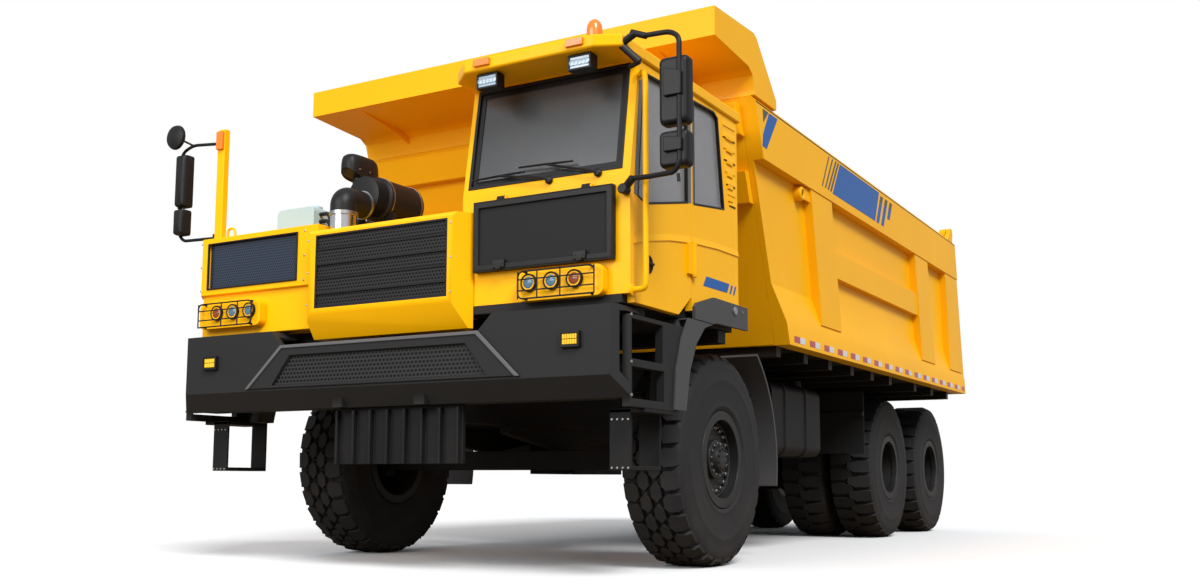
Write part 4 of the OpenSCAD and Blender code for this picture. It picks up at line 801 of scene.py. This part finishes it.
rail = Shape().tube(rounded([(2012, -1815, 1850), (2105, -1835, 1850), (2112, -1838, 1915), (2112, -1838, 3200),
                             (2100, -1830, 3268), (2012, -1730, 3290)], 70), 19, 14)
for z, y in ((1850, -1815), (3290, -1730)):
    rail.lathe([(38, 0), (38, 10), (24, 14)], (CAB_SIDE, y, z), LEFT, 20)
post_loop = rounded([(-1764, -1720, 2556), (-1764, -1720, 2665), (-1690, -1720, 2665), (-1672, -1720, 2556)], 40)
rail.tube(post_loop, 11, 12)
make("grab_rail", rail, YELLOW)

# Mirrors
tubes = Shape()
LEFT_ARM = [(2164, -1952, 3452), (2350, -1962, 3440), (2425, -1988, 3385), (2425, -1992, 2575), (2380, -1980, 2530),
            (2167, -1930, 2538), (2045, -1900, 2552)]
tubes.tube(rounded(LEFT_ARM, 75), 17, 14)
for line, r in (([(2105, -1905, 3305), (1990, -1948, 3428)], 24), ([(1990, -1948, 3428), (2092, -1950, 3478)], 24),
                ([(2070, -1950, 3492), (2180, -1952, 3446)], 22), ([(2052, -1904, 2552), (1985, -1872, 2508)], 26),
                ([(2020, -1878, 3296), (2105, -1905, 3305)], 16)):
    tubes.tube(line, r, 10)
tubes.lathe([(30, -34), (34, -28), (34, 28), (30, 34)], (1975, -1872, 2496), BACK, 18)
tubes.tube([(2405, -1972, 2520), (2409, -1970, 2470)], 11, 10)
RIGHT_ARM = [(x, -1762, z) for x, z in ((-1860, 3380), (-2170, 3410), (-2300, 3360), (-2300, 2670), (-2240, 2605),
                                        (-1860, 2592))]
tubes.tube(rounded(RIGHT_ARM, 60), 13, 14)
tubes.tube([(-2170, -1762, 3410), (-2300, -1822, 3480)], 9, 12)
for z in (3380, 2592):
    tubes.box((-1868, -1788, z - 30), (-1847, -1738, z + 30))
for z in (3290, 2905, 2840, 2690):
    tubes.lathe([(20, -22), (20, 22)], (-2300, -1762, z), UP, 16)
make("mirror_arms", tubes, TRIM_BLACK, bevel=2, replaces=("mirrors",))


def mirror_head(name, low, high, saddle):
    """A housing with round corners, a saddle over its tube and a mirror let into its rear face."""
    x0, y0, z0 = low
    x1, y1, z1 = high
    wide, tall = x1 - x0, z1 - z0
    reach = min(wide, tall) * 0.16
    left, right, foot, top = x0 + reach, x1 - reach, z0 + reach, z1 - reach
    outline = []
    for cx, cz, start in ((right, top, 0), (left, top, 90), (left, foot, 180), (right, foot, 270)):
        for k in range(5):
            a = math.radians(start + 22.5 * k)
            outline.append((cx + reach * math.cos(a), cz + reach * math.sin(a)))
    depth = y1 - y0
    cx, cz = (x0 + x1) / 2, (z0 + z1) / 2
    rings = []
    for part, size in ((0.0, 0.97), (0.08, 1.0), (0.62, 1.0), (0.84, 0.955), (0.96, 0.88), (1.0, 0.78)):
        size_x = 1 - (1 - size) * tall / (wide + tall) * 2
        size_z = 1 - (1 - size) * wide / (wide + tall) * 2
        rings.append([(cx + (x - cx) * size_x, y1 - depth * part, cz + (z - cz) * size_z) for x, z in outline])
    shape = Shape().loft(rings)
    if saddle:
        near, far = x0 + wide * 0.24, x1 - wide * 0.16
        corners = [(near, z0 + tall * 0.40), (far, z0 + tall * 0.40), (far, z1 - tall * 0.26), (near, z1 - tall * 0.18)]
        shape.prism(corners, "y", y0 - 26, y0 + 20)
    make(name, shape, TRIM_BLACK, smooth=40, bevel=5 if saddle else 0)
    pane = rectangle(x0 + 14, x1 - 14, z0 + 14, z1 - 14)
    make(name + "_pane", Shape().prism(inset(pane, 4), "y", y1 - 2, y1 + 2), MIRROR_FACE, bevel=6)


mirror_head("mirror_left_tall", (2277, -1992, 2836), (2478, -1897, 3272), True)
mirror_head("mirror_left_short", (2277, -1992, 2564), (2478, -1897, 2797), True)
mirror_head("mirror_right_tall", (-2286, -1845, 2882), (-2170, -1740, 3322), False)
mirror_head("mirror_right_short", (-2286, -1845, 2648), (-2180, -1740, 2862), False)
ROUND_MIRROR = (-2300, -1832, 3480)
DISC = [(0.5, -34), (60, -30), (96, -18), (104, 0), (104, 8), (98, 12), (0.5, 12)]
round_mirror = Shape().lathe(DISC, ROUND_MIRROR, BACK, 40)
make("mirror_right_round", round_mirror, TRIM_BLACK, smooth=40)
pane = Shape().lathe([(94, 11), (90, 15), (0.5, 17)], ROUND_MIRROR, BACK, 40)
make("mirror_right_round_pane", pane, MIRROR_FACE)


# Lamps


def round_lamp(shape_bezel, shape_lens, x, y, z, r):
    """A bezel ring and a domed lens that look forward."""
    rim = [(r, 0), (r + 8, 4), (r + 8, 26), (r + 2, 30), (r - 5, 22), (r - 6, 0)]
    shape_bezel.lathe(rim, (x, y, z), AHEAD, 32, closed=True)
    shape_lens.lathe([(r - 4, 2), (r - 4, 14), (r * 0.75, 24), (r * 0.4, 29), (0.5, 31)], (x, y, z), AHEAD, 32)


bezels, clear, amber, cage = Shape(), Shape(), Shape(), Shape()
for side in (-1, 1):
    for i, x in enumerate((1285, 1460, 1635)):
        round_lamp(bezels, amber if i == 2 else clear, side * x, -1906, 1940, 52)
    loop = [(side * x, -1958, z) for x, z in rectangle(1222, 1802, 1830, 2012)]
    cage.tube(rounded(loop + loop[:2], 45)[8:], 6, 8)
    for z in (1884, 1958):
        cage.tube([(side * 1222, -1958, z), (side * 1802, -1958, z)], 5, 8)
    for x in (1222, 1372, 1548, 1802):
        cage.tube([(side * x, -1958, 1830), (side * x, -1958, 2012)], 5, 8)
    for x in (1260, 1764):
        for z in (1832, 2010):
            cage.tube([(side * x, -1958, z), (side * x, -1905, z)], 6, 8)
            cage.bolt((side * x, -1909, z), AHEAD, 10, 8)
dressed("headlamps", YELLOW, 14)
make("headlamp_bezels", bezels, TRIM_BLACK, smooth=40)
make("headlamp_lenses", clear, LAMP_BLUE, smooth=60)
make("headlamp_amber_lenses", amber, LAMP_AMBER, smooth=60)
make("headlamp_cages", cage, TRIM_BLACK, smooth=60)

housing, lens, glow = Shape(), Shape(), Shape()
for side in (-1, 1):
    x0, x1 = sorted((side * 1560, side * 1705))
    housing.ring(rectangle(x0, x1, 1488, 1594), rectangle(x0 + 14, x1 - 14, 1504, 1578), "y", -1984, -1950)
    for k in range(6):
        a = x0 + 16 + k * (x1 - x0 - 32) / 6
        for j in range(2):
            z = 1507 + 36 * j
            glow.box((a + 1, -1979, z), (a + (x1 - x0 - 32) / 6 - 2, -1952, z + 33))
for x in (985, 1715):
    housing.ring(rectangle(x - 86, x + 86, 3296, 3398), rectangle(x - 72, x + 72, 3310, 3384), "y", -2006, -1914)
    housing.tube(rounded([(x - 92, -1960, 3350), (x - 92, -1960, 3402), (x - 40, -1960, 3404)], 20), 7, 8)
    lens.box((x - 73, -2000, 3309), (x + 73, -1990, 3385))
    for k in range(5):
        lens.lathe([(24, 0), (20, 8), (0.5, 11)], (x - 56 + 28 * k, -1998, 3347), AHEAD, 16)
make("lamp_housings", housing, TRIM_BLACK, bevel=3)
make("bumper_lamp_lenses", glow, BULB_YELLOW, bevel=3)
make("work_lamp_lenses", lens, CLEAR_BLUE, smooth=50)
markers = Shape()
for x in (985, 1715):
    markers.box((x - 64, -2081, 3431), (x + 64, -2060, 3479))
    for k in range(8):
        markers.box((x - 60 + 15 * k, -2082, 3434), (x - 50 + 15 * k, -2078, 3476))
markers.box((-1842, -1814, 3316), (-1772, -1790, 3464))
BEACON = (1690, -1760, 3490)
markers.lathe([(52, 58), (54, 64), (54, 150), (50, 186), (36, 214), (16, 228), (0.5, 231)], BEACON, UP, 40)
make("marker_lamps", markers, AMBER, bevel=4, smooth=40, replaces=("lamps",))
base = Shape().lathe([(82, 0), (82, 34), (74, 46), (66, 60), (0.5, 60)], BEACON, UP, 40)
for k in range(6):
    a = math.pi * k / 3
    base.bolt((BEACON[0] + 74 * math.cos(a), BEACON[1] + 74 * math.sin(a), 3524), UP, 6, 14)
make("beacon_base", base, TRIM_BLACK, smooth=40)


# Hood, grille and right box

bands = Shape()
slats = Shape()
for i in range(5):
    z0 = 1890 + 109 * i
    bands.box((-550, -1976 if i % 2 == 0 else -1982, z0 + 4), (660, -1952, z0 + 105))
for i in range(1, 5):
    z = 1890 + 109 * i
    slat = [(-1988, z - 9), (-1976, z - 12), (-1955, z - 12), (-1955, z + 12), (-1976, z + 12), (-1988, z + 4)]
    slats.prism(slat, "x", -550, 660)
slats.ring(rectangle(-556, 666, 1884, 2441), rectangle(-536, 646, 1904, 2421), "y", -1988, -1955)
make("grille_bands", bands, GRILLE_BLACK, bevel=3, replaces=("grille",))
make("grille_slats", slats, TRIM_BLACK, bevel=3)
mesh_panel = Shape().prism([(-795, 1555), (795, 1555), (970, 1346), (-970, 1346)], "y", -1944, -1932)
make("bumper_mesh", mesh_panel, MESH_BLACK, bevel=2)
panel = [(-892, 1640), (910, 1640), (1247, 1322), (-1247, 1322)]
trim = Shape().ring(panel, [(-800, 1560), (800, 1560), (976, 1342), (-976, 1342)], "y", -1966, -1950)
make("bumper_raised_panel", trim, BUMPER_GREY, bevel=6)
edge = [(-892, 1640), (910, 1640), (1247, 1322), (1210, 1322), (893, 1616), (-878, 1616), (-1210, 1322), (-1247, 1322)]
make("bumper_panel_edge", Shape().prism(edge, "y", -1976, -1964), EDGE_GREY, bevel=4)

window = rectangle(-1805, -850, 2150, 2510)
strip = Shape().ring(inset(window, -8), inset(window, 5), "y", -1880, -1862)
make("box_window_frame", strip, TRIM_BLACK, bevel=4)
bolts = Shape()
for x in (-1880, -775):
    for z in (2140, 2330, 2520):
        bolts.bolt((x, -1869, z), AHEAD, 9, 7)
for x in (-620, 694):
    for z in (1920, 2160, 2400):
        bolts.bolt((x, -1989, z), AHEAD, 8, 6)
for side in (-1, 1):
    for z in (1180, 1390, 1690):
        bolts.bolt((side * 2010, -1850, z), (side, 0, 0), 11, 8)
    for y, direction in ((-1658, -1), (-1228, 1)):
        for z in (728, 1040):
            for k in range(4):
                bolts.bolt((side * (1769 + 40 * k), y, z), (0, direction, 0), 9, 8)
    bolts.lathe([(34, 0), (34, 8), (26, 14), (0.5, 14)], (side * 2025, -225, 1912), (side, 0, 0), 20)
    bolts.bolt((side * 2025, -80, 1918), (side, 0, 0), 11, 6)
make("panel_bolts", bolts, STEEL)
plates = Shape()
for side in (-1, 1):
    plates.box((min(side * 1747, side * 2008), -1658, 1082), (max(side * 1747, side * 2008), -1228, 1109))
make("ladder_plates", plates, CHASSIS_BLACK, bevel=3)


# Air cleaner on the hood
CAN = (-520, 0, 2835)
can_profile = [(0.5, -1520), (96, -1520)]
for k in range(7):
    y = -1516 + 19 * k
    can_profile += [(136, y), (154, y + 4), (154, y + 10), (136, y + 14)]
can_profile += [(150, -1382), (168, -1378), (175, -1370), (175, -1352), (171, -1350), (171, -1010), (175, -1008),
                (175, -984), (164, -962), (0.5, -961)]
cleaner = Shape().lathe(can_profile, CAN, BACK, 64)
for y in (-1340, -1060):
    cleaner.box((-630, y, 2480), (-370, y + 60, 2730))
cleaner.tube(rounded([(-510, -1500, 2752), (-510, -1738, 2752), (-510, -1738, 2632)], 112, 12), 104, 36)
STACK = (-835, -1200, 0)
cleaner.lathe([(58, 2560), (58, 2700), (64, 2704), (64, 2728), (58, 2732), (58, 3078)], STACK, UP, 32)
cleaner.tube([(-835, -1200, 2835), (-640, -1200, 2835)], 50, 24)
make("air_cleaner_body", cleaner, TRIM_BLACK, smooth=40, replaces=("air_cleaner",))

SIDES = 40
rings = []
for lift, size in ((0.0, 1.0), (0.35, 1.0), (0.62, 0.97), (0.82, 0.88), (0.94, 0.70), (1.0, 0.42)):
    ring = []
    for k in range(SIDES):
        a = 2 * math.pi * k / SIDES
        c, d = math.cos(a), math.sin(a)
        x = math.copysign(abs(c) ** 0.62, c) * 88 * size
        y = math.copysign(abs(d) ** 0.62, d) * 178 * (0.35 + 0.65 * size)
        mouth = 74 * max(0.0, min(1.0, (-y - 20) / 110)) * max(0.0, 1 - (x / 100) ** 2)
        ring.append((STACK[0] + x, STACK[1] + y, 3062 + mouth * (1 - lift) + 198 * lift))
    rings.append(ring)
rain_hood = Shape().loft(rings)
make("air_intake_hood", rain_hood, TRIM_BLACK, smooth=50)

pipe = Shape().lathe([(98, 2482), (98, 2632)], (-510, -1738, 0), UP, 48)
make("air_pipe", pipe, CHROME, smooth=60)
bandings = Shape().lathe([(99, -13), (110, -13), (110, 13), (99, 13)], (-510, -1738, 2640), UP, 48, closed=True)
bandings.lathe([(103, -10), (112, -10), (112, 10), (103, 10)], (-510, -1532, 2752), BACK, 48, closed=True)
for y in (-1340, -1000):
    bandings.lathe([(171, -5), (178, -5), (178, 5), (171, 5)], (CAN[0], y, CAN[2]), BACK, 64, closed=True)
for y in (-1300, -1180):
    bandings.bolt((-748, y, 3124), LEFT, 8, 7)
make("air_cleaner_bands", bandings, STEEL, smooth=40)
tank_cap = Shape().lathe([(50, 285), (54, 292), (54, 322), (46, 330), (0.5, 332)], (-1440, -1215, 2560), UP, 24)
for z in (2800, 2740, 2680):
    hose = [(x, -1300, low) for x, low in ((-1170, z), (-1080, z), (-1050, z - 40), (-1045, 2555))]
    tank_cap.tube(rounded(hose, 40), 16, 12)
make("header_tank_cap", tank_cap, TRIM_BLACK, smooth=40)


# Dump bed

BAND_X = 2019


def band_patch(shape, corners, lift=2.0):
    """A thin painted patch on both sides of the bed, from (station, height) corners."""
    for side in (1, -1):
        shape.prism(corners, "x", *sorted((side * BAND_X, side * (BAND_X + lift))))


blue, grey = Shape(), Shape()
TOP, FOOT = 3660, 3324
band_patch(blue, [(557, TOP), (748, TOP), (493, 3340), (402, 3345), (420, 3449)])
band_patch(grey, [(420, TOP), (543, TOP), (429, 3548)])
for top, foot, wide in ((2056, 1850, 24), (2159, 1935, 30), (2252, 2010, 36), (2319, 2081, 40)):
    band_patch(grey, [(top, TOP), (top + wide, TOP), (foot + wide, FOOT + 10), (foot, FOOT + 10)])
band_patch(blue, [(2387, TOP), (3673, TOP), (3504, FOOT), (2153, FOOT)])
SLANT = 0.56
for k, foot in enumerate((FOOT, FOOT, FOOT + 114)):
    y = 3723 + 170 * k
    split, slope = 75 * SLANT, (TOP - 25 - foot) * SLANT
    band_patch(grey, [(y, TOP - 25), (y + 95, TOP - 25), (y + 95 - split, TOP - 100), (y - split, TOP - 100)])
    band_patch(blue, [(y - split, TOP - 100), (y + 95 - split, TOP - 100), (y + 95 - slope, foot), (y - slope, foot)])
make("bed_stripes_blue", blue, STRIPE_BLUE, "bed")
make("bed_stripes_grey", grey, STRIPE_GREY, "bed")
pins = Shape()
band_patch(pins, [(276, 3678), (7040, 3678), (7040, 3688), (272, 3688)], 1.5)
make("bed_pinstripes", pins, TRIM_BLACK, "bed")
red, silver = Shape(), Shape()
for k in range(17):
    y = 1060 + 382 * k
    band_patch(red, rectangle(y, y + 138, 1811, 1864))
    if k < 16:
        band_patch(silver, rectangle(y + 141, y + 262, 1811, 1864))
make("bed_reflectors_red", red, REFLECT_RED, "bed")
make("bed_reflectors_silver", silver, MARK_WHITE, "bed")
bosses = Shape()
for side in (1, -1):
    out = (side, 0, 0)
    bosses.lathe([(64, -6), (64, 62), (56, 72), (36, 74), (32, 60), (0.5, 60)], (side * 1930, 1390, 3165), out, 28)
    plate = [(1390, 3126), (1600, 3126), (1600, 3240), (1510, 3240), (1390, 3211)]
    bosses.prism(plate, "x", *sorted((side * 1974, side * 1990)))
make("bed_lift_bosses", bosses, BED_YELLOW, "bed", bevel=3)
beams = Shape()
for x in (-1500, 1500):
    beams.prism([(-500, 3968), (-500, 4010), (330, 3920), (330, 3790), (120, 3868)], "x", x - 12, x + 12)
low, high = 2905, 3155
beam = [(wall_y(high) + 1, high), (wall_y(high) - 85, high), (wall_y(low) - 85, low), (wall_y(low) + 1, low)]
beams.prism(beam, "x", -1878, 1878)
make("canopy_beams", beams, BED_YELLOW, "bed", bevel=4)


# Cab inside
def pad(name, outline, low, high, body="chassis"):
    """A crowned cushion from a side outline, swollen between its edges."""
    shape = Shape().prism(outline, "x", low, high)
    obj = make(name, shape, SEAT_CLOTH, body, smooth=80)
    bm = bmesh.new()
    bm.from_mesh(obj.data)
    bmesh.ops.subdivide_edges(bm, edges=bm.edges, cuts=4, use_grid_fill=True)
    bm.to_mesh(obj.data)
    bm.free()
    soft = obj.modifiers.new("crown", "SUBSURF")
    soft.levels = soft.render_levels = 1
    return obj


CUSHION = [(-745, 2150), (-745, 2230), (-700, 2262), (-300, 2250), (-260, 2220), (-260, 2150)]
BACKREST = [(-290, 2240), (-320, 2300), (-300, 2800), (-285, 2870), (-230, 2880), (-180, 2800), (-175, 2240)]
cushion = pad("seat_cushion", CUSHION, 1160, 1680)
pad("seat_backrest", BACKREST, 1170, 1670)
stand = Shape().box((1270, -640, 1830), (1570, -300, 1900)).box((1300, -620, 1900), (1540, -320, 2150))
make("seat_stand", stand, CABIN_PLASTIC, bevel=8)
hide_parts("seat")


# Studio

bpy.context.scene.view_settings.view_transform = "Standard"

floor_mesh = bpy.data.meshes.new("studio_floor")
floor_mesh.from_pydata([(-200, -200, 0), (200, -200, 0), (200, 200, 0), (-200, 200, 0)], [], [(0, 1, 2, 3)])
floor = bpy.data.objects.new("studio_floor", floor_mesh)
bpy.context.collection.objects.link(floor)
pale = bpy.data.materials.new("studio_pale")
pale.use_nodes = True
pale.node_tree.nodes["Principled BSDF"].inputs["Roughness"].default_value = 0.9
floor_ray = pale.node_tree.nodes.new("ShaderNodeLightPath").outputs["Is Camera Ray"]
floor_tone = mix_colour(pale.node_tree, floor_ray, (0.23, 0.175, 0.115, 1.0), (0.93, 0.93, 0.93, 1.0))
pale.node_tree.links.new(floor_tone, pale.node_tree.nodes["Principled BSDF"].inputs["Base Color"])
floor_mesh.materials.append(pale)

world = bpy.data.worlds.new("studio_world")
bpy.context.scene.world = world
world.use_nodes = True
sky = world.node_tree
sky.nodes["Background"].inputs["Color"].default_value = (0.93, 0.96, 1.0, 1)
sky.nodes["Background"].inputs["Strength"].default_value = 0.55
backing = sky.nodes.new("ShaderNodeBackground")
backing.inputs["Color"].default_value = (1, 1, 1, 1)
backing.inputs["Strength"].default_value = 1.0
seen = sky.nodes.new("ShaderNodeLightPath")
either = sky.nodes.new("ShaderNodeMixShader")
sky.links.new(seen.outputs["Is Camera Ray"], either.inputs[0])
sky.links.new(sky.nodes["Background"].outputs[0], either.inputs[1])
sky.links.new(backing.outputs[0], either.inputs[2])
sky.links.new(either.outputs[0], sky.nodes["World Output"].inputs["Surface"])


def aim(obj, spot, target):
    bpy.context.collection.objects.link(obj)
    obj.location = spot
    obj.rotation_euler = (Vector(target) - Vector(spot)).to_track_quat("-Z", "Y").to_euler()


def soft_light(name, spot, target, size, power):
    data = bpy.data.lights.new(name, "AREA")
    data.shape = "RECTANGLE"
    data.size, data.size_y = size
    data.energy = power
    aim(bpy.data.objects.new(name, data), spot, target)


key = bpy.data.lights.new("key", "SUN")
key.energy = 3.0
key.angle = math.radians(24)
aim(bpy.data.objects.new("key", key), (11, -9, 14), (0, 0, 1))
soft_light("front_fill", (-2, -17, 7), (0, -4, 2), (9, 6), 1100)

view = bpy.data.cameras.new("photo_view")
view.sensor_width = 36
view.lens = 35.304
view.shift_x = 0.0189
view.shift_y = 0.0402
view.clip_end = 300
camera = bpy.data.objects.new("photo_view", view)
bpy.context.collection.objects.link(camera)
camera.location = place((5475, -8349, 648))
camera.rotation_euler = (math.radians(96.73), math.radians(-0.2), math.radians(30.67))
bpy.context.scene.camera = camera
